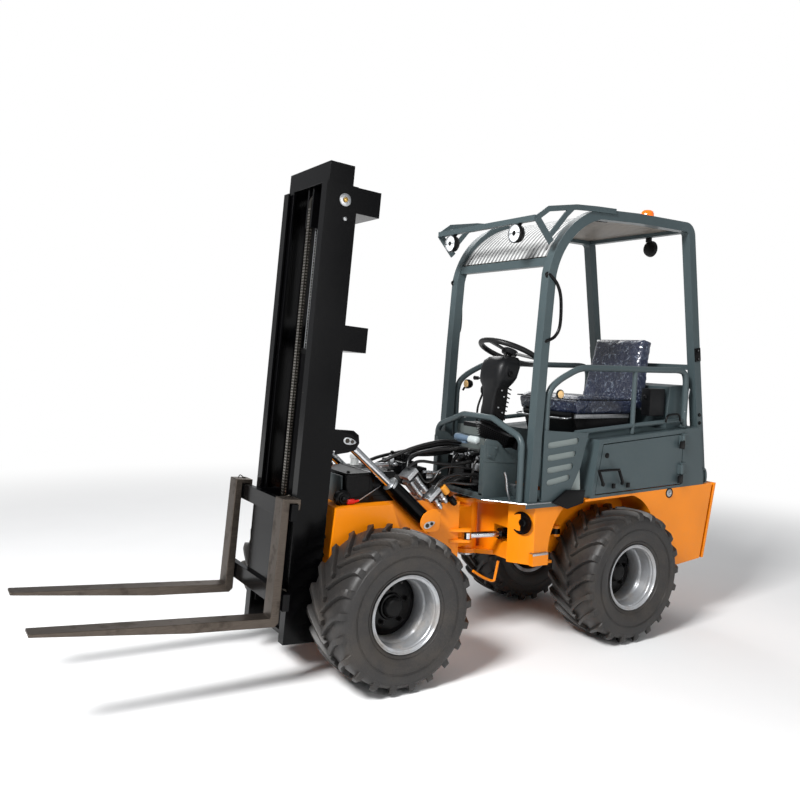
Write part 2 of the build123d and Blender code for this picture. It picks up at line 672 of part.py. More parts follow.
# Side doors, hinged at the rear edge on pins that stand out of the panel
for name, side in (("side_door_left", 1), ("side_door_right", -1)):
    with BuildPart() as door:
        with BuildSketch(at_y(side * (BODY_HALF_WIDTH - 1))):
            Polygon(*door_outline(DOOR_GAP), align=None)
        extrude(amount=side * DOOR_THICKNESS)
        for hinge_z in HINGE_PLACES:
            with BuildSketch(Plane.XY.offset(hinge_z)):
                with Locations((REAR_AXLE_X + HINGE_X, side * HINGE_Y)):
                    Circle(HINGE_RADIUS)
                with Locations((REAR_AXLE_X + HINGE_X + HINGE_RADIUS, side * (HINGE_Y - HINGE_RADIUS))):
                    Rectangle(2 * HINGE_RADIUS, 2 * HINGE_RADIUS)
                with Locations((REAR_AXLE_X + HINGE_X, side * HINGE_Y)):
                    Circle(HINGE_PIN_RADIUS + SEAT_GAP, mode=Mode.SUBTRACT)
            extrude(amount=HINGE_LENGTH)
    door.part.label = name
    export_step(door.part, f"parts/{name}.step")

# Raised cover over the back of the engine, between the rear posts
COVER_FRONT_X = -412
COVER_TOP_Z = 1322
COVER_HALF_WIDTH = BODY_HALF_WIDTH - 90
COVER_CORNER = 30
cover_rear_low = (rear_post_x(HOOD_REAR_TOP_Z) + POST_FACE + SEAT_GAP, HOOD_REAR_TOP_Z)
cover_rear_top = (rear_post_x(COVER_TOP_Z) + POST_FACE + SEAT_GAP, COVER_TOP_Z)
with BuildPart() as rear_cover:
    with BuildSketch(at_y(COVER_HALF_WIDTH)):
        Polygon(
            *from_rear_axle(
                (COVER_FRONT_X, hood_top(COVER_FRONT_X)),
                (COVER_FRONT_X - 18, COVER_TOP_Z - 12),
                cover_rear_top,
                cover_rear_low,
            ),
            align=None,
        )
    extrude(amount=2 * COVER_HALF_WIDTH)
    fillet(rear_cover.edges().group_by(Axis.Z)[-1], COVER_CORNER)
rear_cover.part.label = "rear_cover"
export_step(rear_cover.part, "parts/rear_cover.step")

# Floor of the cab, with corners cut back to the sides and a folded edge at each step
FLOOR_REAR_X = 302
FLOOR_SIDE_X = 640
FLOOR_FRONT_X = 768
FLOOR_FRONT_HALF = 222
FLOOR_EDGE = 26
with BuildPart() as floor_plate:
    with BuildSketch(Plane.XY.offset(FRAME_TOP_Z)):
        Polygon(
            *[
                (REAR_AXLE_X + x, y)
                for x, y in (
                    (FLOOR_REAR_X, -FLOOR_HALF_WIDTH),
                    (FLOOR_SIDE_X, -FLOOR_HALF_WIDTH),
                    (FLOOR_FRONT_X, -FLOOR_FRONT_HALF),
                    (FLOOR_FRONT_X, FLOOR_FRONT_HALF),
                    (FLOOR_SIDE_X, FLOOR_HALF_WIDTH),
                    (FLOOR_REAR_X, FLOOR_HALF_WIDTH),
                )
            ],
            align=None,
        )
    extrude(amount=FLOOR_THICKNESS)
    for side in (1, -1):
        with BuildSketch(Plane.XY.offset(FRAME_TOP_Z + FLOOR_THICKNESS)):
            with Locations(
                (REAR_AXLE_X + (FLOOR_REAR_X + FLOOR_SIDE_X) / 2, side * (FLOOR_HALF_WIDTH - 3))
            ):
                Rectangle(FLOOR_SIDE_X - FLOOR_REAR_X, FLOOR_THICKNESS)
        extrude(amount=-FLOOR_EDGE)
floor_plate.part.label = "floor_plate"
export_step(floor_plate.part, "parts/floor_plate.step")
CAB_FLOOR_Z = FRAME_TOP_Z + FLOOR_THICKNESS

# Front console: a shell open to the driver's feet, with a sloping louvred top
CONSOLE_HALF_WIDTH = BODY_HALF_WIDTH - 200
CONSOLE_REAR_X = 545
CONSOLE_FRONT_X = 760
CONSOLE_FRONT_TOP_Z = 1012
CONSOLE_TOP_Z = 1070
CONSOLE_TOP_X = 605
CONSOLE_SHEET = 5
CONSOLE_RIM = 24
CONSOLE_OUTLINE = (
    (CONSOLE_REAR_X, CAB_FLOOR_Z),
    (CONSOLE_FRONT_X, CAB_FLOOR_Z),
    (CONSOLE_FRONT_X, CONSOLE_FRONT_TOP_Z),
    (CONSOLE_TOP_X, CONSOLE_TOP_Z),
    (CONSOLE_TOP_X - CONSOLE_SHEET, CONSOLE_FRONT_TOP_Z),
    (CONSOLE_REAR_X, CONSOLE_FRONT_TOP_Z),
)
with BuildPart() as console:
    with BuildSketch(at_y(CONSOLE_HALF_WIDTH)):
        Polygon(*from_rear_axle(*CONSOLE_OUTLINE), align=None)
    extrude(amount=2 * CONSOLE_HALF_WIDTH)
    with BuildSketch(at_y(CONSOLE_HALF_WIDTH - CONSOLE_SHEET)):
        Polygon(
            *from_rear_axle(
                (CONSOLE_REAR_X - 10, CAB_FLOOR_Z - 10),
                (CONSOLE_FRONT_X - CONSOLE_SHEET, CAB_FLOOR_Z - 10),
                (CONSOLE_FRONT_X - CONSOLE_SHEET, CONSOLE_FRONT_TOP_Z - CONSOLE_SHEET),
                (CONSOLE_TOP_X, CONSOLE_TOP_Z - CONSOLE_SHEET),
                (CONSOLE_REAR_X - 10, CONSOLE_TOP_Z - CONSOLE_SHEET),
            ),
            align=None,
        )
    extrude(amount=2 * (CONSOLE_HALF_WIDTH - CONSOLE_SHEET), mode=Mode.SUBTRACT)
    # opening in the front, inside a narrow rim
    console_rim_low = CAB_FLOOR_Z + CONSOLE_RIM
    console_rim_high = CONSOLE_FRONT_TOP_Z - CONSOLE_RIM
    with BuildSketch(Plane.YZ.offset(REAR_AXLE_X + CONSOLE_FRONT_X - 2 * CONSOLE_SHEET)):
        with Locations((0, (console_rim_low + console_rim_high) / 2)):
            Rectangle(2 * (CONSOLE_HALF_WIDTH - CONSOLE_RIM), console_rim_high - console_rim_low)
    extrude(amount=3 * CONSOLE_SHEET, mode=Mode.SUBTRACT)
console.part.label = "console"
export_step(console.part, "parts/console.step")

# Slotted side panels between the handrail and the body shell
SLOT_PANEL_Y = BODY_HALF_WIDTH - 20
SLOT_PANEL_SHEET = 5
SLOT_FRONT_X = 536
SLOT_TABLE = (
    # front x, rear x, height at the front, height at the rear
    (514, 306, 1015, 1037),
    (512, 322, 953, 972),
    (510, 338, 893, 911),
    (508, 356, 832, 856),
)
SLOT_WIDTH = 30
slot_panel_outline = (
    (SLOT_FRONT_X, CAB_FLOOR_Z),
    (SLOT_FRONT_X, 1090),
    (HOOD_FRONT_TOP[0] + 60, HOOD_FRONT_TOP[1] + 34),
    (290, 900),
    (345, 795),
    (360, CAB_FLOOR_Z),
)
with BuildPart() as slot_panels:
    with BuildSketch(at_y(SLOT_PANEL_Y)):
        Polygon(*from_rear_axle(*slot_panel_outline), align=None)
        for front_x, rear_x, front_z, rear_z in SLOT_TABLE:
            with Locations((REAR_AXLE_X + (front_x + rear_x) / 2, (front_z + rear_z) / 2)):
                SlotOverall(
                    hypot(front_x - rear_x, rear_z - front_z),
                    SLOT_WIDTH,
                    rotation=-degrees(atan2(rear_z - front_z, front_x - rear_x)),
                    mode=Mode.SUBTRACT,
                )
    extrude(amount=SLOT_PANEL_SHEET)
    mirror(about=Plane.XZ)
slot_panels.part.label = "slot_panels"
export_step(slot_panels.part, "parts/slot_panels.step")

# Canopy frame: two bent side frames of square tube, crossbars and the guard hoop in front
POST_MIDDLE_Y = POST_OUTER_Y - POST_WIDTH / 2
FRONT_POST_FOOT = (590, CAB_FLOOR_Z)
FRONT_POST_MIDDLE = (558, 1478)
FRONT_POST_TOP = (536, 1840)
ROOF_ARC_MIDDLE = (446, 2028)
ROOF_ARC_END = (236, 2160)
ROOF_MIDDLE = (-41, ROOF_Z)
REAR_CORNER_RADIUS = 50
FRONT_BAR_Z = 1904
FRONT_BAR_X = 520
HOOP_TUBE = 32
HOOP_X = 642
HOOP_Y = POST_OUTER_Y - 40
HOOP_SIDE_Z = 1048
HOOP_TOP_Z = 1128
HOOP_HALF_WIDTH = 120
HOOP_BEND = 60
REAR_BAR_Z = 1420
rear_corner = (REAR_POST_TOP_X, ROOF_Z)
rear_post_foot_z = body_line(rear_post_x(770))
rear_post_foot = (rear_post_x(rear_post_foot_z), rear_post_foot_z)


def canopy_line():
    """Middle line of a side frame from the front foot over the roof to the rear foot."""
    foot, middle, top, arc_middle, arc_end, roof, corner, rear_foot = from_rear_axle(
        FRONT_POST_FOOT,
        FRONT_POST_MIDDLE,
        FRONT_POST_TOP,
        ROOF_ARC_MIDDLE,
        ROOF_ARC_END,
        ROOF_MIDDLE,
        rear_corner,
        rear_post_foot,
    )
    Polyline(foot, middle, top)
    ThreePointArc(top, arc_middle, arc_end)
    Line(arc_end, roof)
    FilletPolyline(roof, corner, rear_foot, radius=REAR_CORNER_RADIUS)


with BuildPart() as canopy_frame:
    with BuildSketch(at_y(POST_OUTER_Y)):
        with BuildLine():
            canopy_line()
        trace(line_width=POST_WIDTH)
    extrude(amount=POST_WIDTH)
    # feet cut level with the floor and with the deck
    with BuildSketch(at_y(POST_OUTER_Y + 1)):
        Polygon(
            *from_rear_axle(
                (500, CAB_FLOOR_Z), (700, CAB_FLOOR_Z), (700, CAB_FLOOR_Z - 90), (500, CAB_FLOOR_Z - 90)
            ),
            align=None,
        )
        Polygon(
            *from_rear_axle(
                (DECK_FRONT_X, body_line(DECK_FRONT_X)),
                TAIL_TOP,
                (TAIL_TOP[0], TAIL_TOP[1] - 90),
                (DECK_FRONT_X, body_line(DECK_FRONT_X) - 90),
            ),
            align=None,
        )
    extrude(amount=POST_WIDTH + 2, mode=Mode.SUBTRACT)
    mirror(about=Plane.XZ)
    inner_y = POST_OUTER_Y - POST_WIDTH
    for bar_x, bar_z, bar_size in (
        (FRONT_BAR_X, FRONT_BAR_Z, 40),
        (REAR_POST_TOP_X, ROOF_Z - 4, 40),
        (rear_post_x(REAR_BAR_Z), REAR_BAR_Z, 30),
    ):
        with Locations((REAR_AXLE_X + bar_x, 0, bar_z)):
            Box(bar_size, 2 * inner_y + 2, bar_size)
    with BuildLine(Plane.YZ.offset(REAR_AXLE_X + HOOP_X)) as hoop_line:
        FilletPolyline(
            (-HOOP_Y, CAB_FLOOR_Z),
            (-HOOP_Y, HOOP_SIDE_Z),
            (-HOOP_HALF_WIDTH, HOOP_TOP_Z),
            (HOOP_HALF_WIDTH, HOOP_TOP_Z),
            (HOOP_Y, HOOP_SIDE_Z),
            (HOOP_Y, CAB_FLOOR_Z),
            radius=HOOP_BEND,
        )
    with BuildSketch(Plane(hoop_line.line @ 0, z_dir=hoop_line.line % 0)):
        Circle(HOOP_TUBE / 2)
    sweep(path=hoop_line.line)
canopy_frame.part.label = "canopy_frame"
export_step(canopy_frame.part, "parts/canopy_frame.step")

# Roof skin between the side frames, bent along the same line
ROOF_SKIN = 8
ROOF_SKIN_DROP = 6
ROOF_SKIN_HALF = POST_OUTER_Y - POST_WIDTH
with BuildPart() as roof_panel:
    with BuildSketch(at_y(ROOF_SKIN_HALF)):
        with BuildLine():
            skin_front, skin_arc, skin_end, skin_middle, skin_rear = from_rear_axle(
                (FRONT_BAR_X, FRONT_BAR_Z + 26),
                ROOF_ARC_MIDDLE,
                ROOF_ARC_END,
                ROOF_MIDDLE,
                (REAR_POST_TOP_X + 21, ROOF_Z),
            )
            ThreePointArc(skin_front, skin_arc, skin_end)
            Polyline(skin_end, skin_middle, skin_rear)
        trace(line_width=ROOF_SKIN)
    extrude(amount=2 * ROOF_SKIN_HALF)
roof_panel.part.label = "roof_panel"
export_step(roof_panel.part, "parts/roof_panel.step")

# Lamp bracket: a bar ahead of the roof on two arms, with one lamp at each side
LAMP_BAR_X = 655
LAMP_BAR_Z = 2092
LAMP_BAR = 26
LAMP_Y = 264
LAMP_Z = 2030
LAMP_DIAMETER = 92
LAMP_DEPTH = 52
ARM_SHEET = 8
ARM_WIDTH = 34
LAMP_ARM = ((578, 2008), (560, 1988))
STRIP_WIDTH = 26
ROOF_STRIP = ((585, 2142), (406, 2172), (272, 2180), (139, 2184))
ROOF_ARM = ((578, 2008), (474, 2128), (430, 2168))
lamp_foot_z = LAMP_Z + LAMP_DIAMETER / 2 + SEAT_GAP
with BuildPart() as lamp_bracket:
    with BuildSketch(at_y(POST_OUTER_Y + ARM_SHEET)):
        with BuildLine():
            Polyline(*from_rear_axle((LAMP_BAR_X, LAMP_BAR_Z), *LAMP_ARM))
        trace(line_width=ARM_WIDTH)
        with BuildLine():
            Polyline(*from_rear_axle((LAMP_BAR_X, LAMP_BAR_Z), *ROOF_STRIP))
        trace(line_width=STRIP_WIDTH)
        with BuildLine():
            Polyline(*from_rear_axle(*ROOF_ARM))
        trace(line_width=STRIP_WIDTH)
    extrude(amount=ARM_SHEET)
    mirror(about=Plane.XZ)
    with Locations((REAR_AXLE_X + LAMP_BAR_X, 0, LAMP_BAR_Z)):
        Box(LAMP_BAR, 2 * POST_OUTER_Y + 2, LAMP_BAR)
    for side in (1, -1):
        with Locations((REAR_AXLE_X + LAMP_BAR_X, side * LAMP_Y, lamp_foot_z)):
            Box(LAMP_BAR, 30, LAMP_BAR_Z - lamp_foot_z, align=(Align.CENTER, Align.CENTER, Align.MIN))
lamp_bracket.part.label = "lamp_bracket"
export_step(lamp_bracket.part, "parts/lamp_bracket.step")

with BuildPart() as work_lamps:
    for side in (1, -1):
        with BuildSketch(Plane.YZ.offset(REAR_AXLE_X + LAMP_BAR_X - LAMP_DEPTH / 2)):
            with Locations((side * LAMP_Y, LAMP_Z)):
                Circle(LAMP_DIAMETER * 0.36)
        with BuildSketch(Plane.YZ.offset(REAR_AXLE_X + LAMP_BAR_X + LAMP_DEPTH / 4)):
            with Locations((side * LAMP_Y, LAMP_Z)):
                Circle(LAMP_DIAMETER / 2)
        loft()
        with BuildSketch(Plane.YZ.offset(REAR_AXLE_X + LAMP_BAR_X + LAMP_DEPTH / 4)):
            with Locations((side * LAMP_Y, LAMP_Z)):
                Circle(LAMP_DIAMETER / 2)
        extrude(amount=LAMP_DEPTH / 4)
work_lamps.part.label = "work_lamps"
export_step(work_lamps.part, "parts/work_lamps.step")

# Rotating beacon on the roof
BEACON_X = -285
BEACON_Y = 220
BEACON_DIAMETER = 86
BEACON_BASE = 26
BEACON_HEIGHT = 92
beacon_z = ROOF_Z + ROOF_SKIN / 2 + SEAT_GAP
with BuildPart() as beacon:
    with BuildSketch(Plane.XZ.offset(-BEACON_Y)):
        with BuildLine():
            Polyline(
                (REAR_AXLE_X + BEACON_X, beacon_z),
                (REAR_AXLE_X + BEACON_X + BEACON_DIAMETER / 2, beacon_z),
                (REAR_AXLE_X + BEACON_X + BEACON_DIAMETER / 2, beacon_z + BEACON_BASE),
                (REAR_AXLE_X + BEACON_X + BEACON_DIAMETER / 2 - 8, beacon_z + BEACON_HEIGHT - 14),
                (REAR_AXLE_X + BEACON_X + BEACON_DIAMETER / 2 - 22, beacon_z + BEACON_HEIGHT),
                (REAR_AXLE_X + BEACON_X, beacon_z + BEACON_HEIGHT),
                close=True,
            )
        make_face()
    revolve(axis=Axis((REAR_AXLE_X + BEACON_X, BEACON_Y, 0), (0, 0, 1)))
beacon.part.label = "beacon"
export_step(beacon.part, "parts/beacon.step")

# Handrails: a bent tube at each side
RAIL_TUBE = 34
RAIL_Y = BODY_HALF_WIDTH - 43
RAIL_FRONT_X = 512
RAIL_BEND = 90
RAIL_TOP_Z = 1398
RAIL_REAR_X = -500
RAIL_POST_X = -93
RAIL_POST_TUBE = 26
LOWER_RAIL_FRONT_X = 310
LOWER_RAIL_RISE = 46
rail_foot_z = CAB_FLOOR_Z
for name, side in (("handrail_left", 1), ("handrail_right", -1)):
    rail_plane = at_y(side * RAIL_Y)
    with BuildPart() as handrail:
        with BuildLine(rail_plane) as rail_line:
            FilletPolyline(
                *from_rear_axle(
                    (RAIL_FRONT_X - 4, rail_foot_z + 0.5),
                    (RAIL_FRONT_X, RAIL_TOP_Z),
                    (RAIL_REAR_X, RAIL_TOP_Z + 3),
                    (RAIL_REAR_X, hood_top(RAIL_REAR_X - RAIL_TUBE / 2) + SEAT_GAP),
                ),
                radius=RAIL_BEND,
            )
        with BuildSketch(Plane(rail_line.line @ 0, z_dir=rail_line.line % 0)):
            Circle(RAIL_TUBE / 2)
        sweep(path=rail_line.line)
        with BuildLine(rail_plane) as lower_line:
            Line(
                *from_rear_axle(
                    (RAIL_REAR_X, hood_top(RAIL_REAR_X) + LOWER_RAIL_RISE),
                    (LOWER_RAIL_FRONT_X, hood_top(LOWER_RAIL_FRONT_X) + LOWER_RAIL_RISE),
                )
            )
        with BuildSketch(Plane(lower_line.line @ 0, z_dir=lower_line.line % 0)):
            Circle(RAIL_POST_TUBE / 2)
        sweep(path=lower_line.line)
        post_foot_z = hood_top(RAIL_POST_X - RAIL_POST_TUBE / 2) + SEAT_GAP
        with BuildSketch(Plane.XY.offset(post_foot_z)):
            with Locations((REAR_AXLE_X + RAIL_POST_X, side * RAIL_Y)):
                Circle(RAIL_POST_TUBE / 2)
        extrude(amount=RAIL_TOP_Z - post_foot_z)
    handrail.part.label = name
    export_step(handrail.part, f"parts/{name}.step")

# Driver's seat: a base box on the body, a cushion and a leaning back
SEAT_WIDTH = 470
SEAT_FRONT_X = 190
SEAT_REAR_X = -270
SEAT_BASE_TOP_Z = HOOD_REAR_TOP_Z + 64
SEAT_TOP_Z = SEAT_BASE_TOP_Z + 84
SEAT_BACK_TOP_Z = SEAT_BASE_TOP_Z + 442
SEAT_BACK_THICKNESS = 90
SEAT_BACK_LEAN = 12
SEAT_BASE_INSET = 35
with BuildPart() as seat_base:
    with BuildSketch(at_y(SEAT_WIDTH / 2 - SEAT_BASE_INSET)):
        Polygon(
            *from_rear_axle(
                (SEAT_FRONT_X - 60, hood_top(SEAT_FRONT_X - 60)),
                (SEAT_FRONT_X - 20, SEAT_BASE_TOP_Z),
                (SEAT_REAR_X + 20, SEAT_BASE_TOP_Z),
                (SEAT_REAR_X + 20, hood_top(SEAT_REAR_X + 20)),
            ),
            align=None,
        )
    extrude(amount=SEAT_WIDTH - 2 * SEAT_BASE_INSET)
seat_base.part.label = "seat_base"
export_step(seat_base.part, "parts/seat_base.step")

with BuildPart() as seat_cushion:
    with BuildSketch(at_y(SEAT_WIDTH / 2)):
        Polygon(
            *from_rear_axle(
                (SEAT_FRONT_X - 10, SEAT_BASE_TOP_Z + SEAT_GAP),
                (SEAT_FRONT_X + 6, SEAT_TOP_Z - 22),
                (SEAT_FRONT_X - 30, SEAT_TOP_Z),
                (SEAT_REAR_X, SEAT_TOP_Z - 14),
                (SEAT_REAR_X, SEAT_BASE_TOP_Z + SEAT_GAP),
            ),
            align=None,
        )
    extrude(amount=SEAT_WIDTH)
    fillet(seat_cushion.edges().filter_by(Axis.Z), 20)
seat_cushion.part.label = "seat_cushion"
export_step(seat_cushion.part, "parts/seat_cushion.step")

back_lean = radians(SEAT_BACK_LEAN)
seat_back_plane = Plane(
    origin=(REAR_AXLE_X + SEAT_REAR_X - 2, 0, SEAT_BASE_TOP_Z + 20),
    x_dir=(cos(back_lean), 0, sin(back_lean)),
    z_dir=(-sin(back_lean), 0, cos(back_lean)),
)
SEAT_BACK_LENGTH = (SEAT_BACK_TOP_Z - SEAT_BASE_TOP_Z - 20) / cos(back_lean)
with BuildPart() as seat_back:
    with BuildSketch(seat_back_plane):
        with Locations((-SEAT_BACK_THICKNESS / 2 - 3, 0)):
            Rectangle(SEAT_BACK_THICKNESS, SEAT_WIDTH - 20)
    with BuildSketch(seat_back_plane.offset(SEAT_BACK_LENGTH - 12)):
        with Locations((-SEAT_BACK_THICKNESS / 2 + 3, 0)):
            Rectangle(SEAT_BACK_THICKNESS * 0.72, SEAT_WIDTH - 80)
    loft()
seat_back.part.label = "seat_back"
export_step(seat_back.part, "parts/seat_back.step")

# Bracket that carries the seat back behind the base
BRACKET_HALF_WIDTH = 60


def under_back(along):
    """Point just under the seat back's lower face."""
    return (
        SEAT_REAR_X - 2 + along * cos(back_lean) + SEAT_GAP * sin(back_lean),
        SEAT_BASE_TOP_Z + 20 + along * sin(back_lean) - SEAT_GAP * cos(back_lean),
    )


with BuildPart() as seat_bracket:
    with BuildSketch(at_y(BRACKET_HALF_WIDTH)):
        Polygon(
            *from_rear_axle(
                (SEAT_REAR_X + 20 - SEAT_GAP, SEAT_BASE_TOP_Z - 5),
                (SEAT_REAR_X + 20 - SEAT_GAP, SEAT_BASE_TOP_Z - 50),
                under_back(-SEAT_BACK_THICKNESS),
                under_back(-30),
                (SEAT_REAR_X - 14, SEAT_BASE_TOP_Z - 5),
            ),
            align=None,
        )
    extrude(amount=2 * BRACKET_HALF_WIDTH)
seat_bracket.part.label = "seat_bracket"
export_step(seat_bracket.part, "parts/seat_bracket.step")

# Steering column with its moulded pod, and the steering wheel
COLUMN_FOOT_X = 560
COLUMN_HALF_WIDTH = 105
WHEEL_DIAMETER = 345
WHEEL_TUBE = 28
WHEEL_TILT = 22
WHEEL_CENTRE = (452, 1462)
WHEEL_STUB = 55
tilt = radians(WHEEL_TILT)


def column_top(x):
    """Height of the column's top face, square to the wheel's axis."""
    stub_x = WHEEL_CENTRE[0] + (WHEEL_STUB + SEAT_GAP) * sin(tilt)
    stub_z = WHEEL_CENTRE[1] - (WHEEL_STUB + SEAT_GAP) * cos(tilt)
    return stub_z + (x - stub_x) * sin(tilt) / cos(tilt)


with BuildPart() as steering_column:
    with BuildSketch(at_y(COLUMN_HALF_WIDTH)):
        with BuildLine():
            Polyline(
                *from_rear_axle(
                    (530, 1060),
                    (445, 1120),
                    (408, 1300),
                    (412, column_top(412)),
                    (520, column_top(520)),
                    (600, 1370),
                    (618, 1240),
                    (600, 1110),
                    (590, 1060),
                ),
                close=True,
            )
        make_face()
    extrude(amount=2 * COLUMN_HALF_WIDTH)
    with BuildSketch(Plane.XY.offset(CAB_FLOOR_Z)):
        with Locations((REAR_AXLE_X + COLUMN_FOOT_X, 0)):
            Rectangle(70, 90)
    extrude(amount=400)
steering_column.part.label = "steering_column"
export_step(steering_column.part, "parts/steering_column.step")

steering_plane = Plane(
    origin=(REAR_AXLE_X + WHEEL_CENTRE[0], 0, WHEEL_CENTRE[1]),
    x_dir=(cos(tilt), 0, sin(tilt)),
    z_dir=(-sin(tilt), 0, cos(tilt)),
)
with BuildPart(steering_plane) as steering_wheel:
    Torus(WHEEL_DIAMETER / 2 - WHEEL_TUBE / 2, WHEEL_TUBE / 2)
    Cylinder(34, 26)
    with PolarLocations(0, 3):
        Box(WHEEL_DIAMETER / 2 - WHEEL_TUBE / 2, 24, 10, align=(Align.MIN, Align.CENTER, Align.CENTER))
    with Locations((0, 0, -13)):
        Cylinder(16, WHEEL_STUB - 13, align=(Align.CENTER, Align.CENTER, Align.MAX))
steering_wheel.part.label = "steering_wheel"
export_step(steering_wheel.part, "parts/steering_wheel.step")

# Front frame: knuckle, narrow box, wide box over the axle, brackets for the cylinders
NARROW_REAR_X = 845
NARROW_BOTTOM_Z = 436
WIDE_REAR_X = 1280
STEP_UP_X = 1205
WIDE_FRONT_X = 1557
WIDE_TOP_Z = 750
KNUCKLE_HALF = 50
TILT_Y = CHASSIS_HALF_WIDTH - 34
TILT_BASE = (1056, 640)
TILT_EYE_HALF = 14
TILT_BRACKET = 10
STEER_PLATE = 12
MAST_PIN_DIAMETER = 36
MAST_LUG_Y = CHASSIS_HALF_WIDTH - 61
MAST_LUG = 30
MAST_EAR = 16
tilt_base_x, tilt_base_z = REAR_AXLE_X + TILT_BASE[0], TILT_BASE[1]
tilt_outer_y = TILT_Y + TILT_EYE_HALF + MOVING_GAP
with BuildPart() as front_frame:
    # narrow box from the knuckle to the wide box
    with BuildSketch(at_y(NARROW_HALF_WIDTH)):
        Polygon(
            *from_rear_axle(
                (NARROW_REAR_X, NARROW_BOTTOM_Z),
                (NARROW_REAR_X, FRONT_HEAD_TOP_Z),
                (1000, FRONT_HEAD_TOP_Z),
                (1060, FRONT_HEAD_TOP_Z + 18),
                (STEP_UP_X, WIDE_TOP_Z - PLATE),
                (WIDE_FRONT_X, WIDE_TOP_Z - PLATE),
                (WIDE_FRONT_X, 250),
                (1500, 215),
                (1260, 250),
                (1130, NARROW_BOTTOM_Z),
            ),
            align=None,
        )
        with Locations((FRONT_AXLE_X, AXLE_Z)):
            Circle(DIFFERENTIAL_DIAMETER / 2 + MOVING_GAP, mode=Mode.SUBTRACT)
    extrude(amount=PLATE)
    # wide plate beside the wheel, resting on the axle pad
    with BuildSketch(at_y(CHASSIS_HALF_WIDTH)):
        Polygon(
            *from_rear_axle(
                (WIDE_REAR_X, WIDE_TOP_Z),
                (WIDE_REAR_X - 60, 600),
                (1262, 290),
                (1478, 290),
                (1530, 400),
                (1590, 470),
                (1590, 530),
                (1566, WIDE_TOP_Z),
            ),
            align=None,
        )
        with Locations((FRONT_AXLE_X, AXLE_Z)):
            Circle(AXLE_TUBE_DIAMETER / 2 + SEAT_GAP, mode=Mode.SUBTRACT)
    extrude(amount=PLATE)
    # outer cheek of the tilt cylinder's base, with a web behind it
    with BuildSketch(at_y(tilt_outer_y + TILT_BRACKET)):
        with Locations((tilt_base_x, tilt_base_z)):
            Circle(38)
        Polygon(
            (tilt_base_x - 48, tilt_base_z - 44),
            (tilt_base_x + 12, tilt_base_z - 44),
            (tilt_base_x + 34, tilt_base_z - 18),
            (tilt_base_x - 10, tilt_base_z + 50),
            (tilt_base_x - 48, tilt_base_z + 50),
            align=None,
        )
    extrude(amount=TILT_BRACKET)
    with BuildSketch(at_y(tilt_outer_y + TILT_BRACKET)):
        Polygon(
            (tilt_base_x - 48, tilt_base_z - 44),
            (tilt_base_x + 12, tilt_base_z - 44),
            (tilt_base_x + 12, tilt_base_z - 36),
            (tilt_base_x - 40, tilt_base_z - 36),
            (tilt_base_x - 40, tilt_base_z + 50),
            (tilt_base_x - 48, tilt_base_z + 50),
            align=None,
        )
    extrude(amount=tilt_outer_y + TILT_BRACKET - NARROW_HALF_WIDTH)
    with BuildSketch(at_y(tilt_outer_y + TILT_BRACKET)):
        with Locations((tilt_base_x, tilt_base_z)):
            Circle(TILT_PIN_DIAMETER / 2)
    extrude(amount=tilt_outer_y + TILT_BRACKET - NARROW_HALF_WIDTH + PLATE)
    # ears and pin that carry the mast
    for ear_y in (
        MAST_LUG_Y - MAST_LUG / 2 - MOVING_GAP - MAST_EAR,
        MAST_LUG_Y + MAST_LUG / 2 + MOVING_GAP,
    ):
        with BuildSketch(at_y(ear_y + MAST_EAR)):
            with Locations((MAST_PIVOT_X, MAST_PIVOT_Z)):
                Circle(30)
            Polygon(
                (MAST_PIVOT_X, MAST_PIVOT_Z + 30),
                (MAST_PIVOT_X, MAST_PIVOT_Z - 30),
                (REAR_AXLE_X + WIDE_FRONT_X - PLATE, MAST_PIVOT_Z - 40),
                (REAR_AXLE_X + WIDE_FRONT_X - PLATE, MAST_PIVOT_Z + 90),
                align=None,
            )
        extrude(amount=MAST_EAR)
    with BuildSketch(at_y(MAST_LUG_Y + MAST_LUG / 2 + MOVING_GAP + MAST_EAR)):
        with Locations((MAST_PIVOT_X, MAST_PIVOT_Z)):
            Circle(MAST_PIN_DIAMETER / 2)
    extrude(amount=MAST_LUG + 2 * MOVING_GAP + 2 * MAST_EAR)
    mirror(about=Plane.XZ)
    # cross plates
    for plate_x, half_width, low_z, high_z in (
        (NARROW_REAR_X, NARROW_HALF_WIDTH, NARROW_BOTTOM_Z, FRONT_HEAD_TOP_Z),
        (WIDE_REAR_X, CHASSIS_HALF_WIDTH, 480, WIDE_TOP_Z),
        (WIDE_FRONT_X - PLATE, CHASSIS_HALF_WIDTH, 250, WIDE_TOP_Z),
    ):
        with BuildSketch(Plane.YZ.offset(REAR_AXLE_X + plate_x)):
            with Locations((0, (low_z + high_z) / 2)):
                Rectangle(2 * half_width, high_z - low_z)
        extrude(amount=PLATE)
    # top plates
    with BuildSketch(Plane.XY.offset(WIDE_TOP_Z - PLATE)):
        with Locations((REAR_AXLE_X + (WIDE_REAR_X + WIDE_FRONT_X) / 2, 0)):
            Rectangle(WIDE_FRONT_X - WIDE_REAR_X, 2 * CHASSIS_HALF_WIDTH)
        with Locations((REAR_AXLE_X + (STEP_UP_X + WIDE_REAR_X) / 2, 0)):
            Rectangle(WIDE_REAR_X - STEP_UP_X, 2 * NARROW_HALF_WIDTH)
    extrude(amount=PLATE)
    with BuildSketch(Plane.XY.offset(FRONT_HEAD_TOP_Z - PLATE)):
        with Locations((REAR_AXLE_X + (NARROW_REAR_X + 1010) / 2, 0)):
            Rectangle(1010 - NARROW_REAR_X, 2 * NARROW_HALF_WIDTH)
    extrude(amount=PLATE)
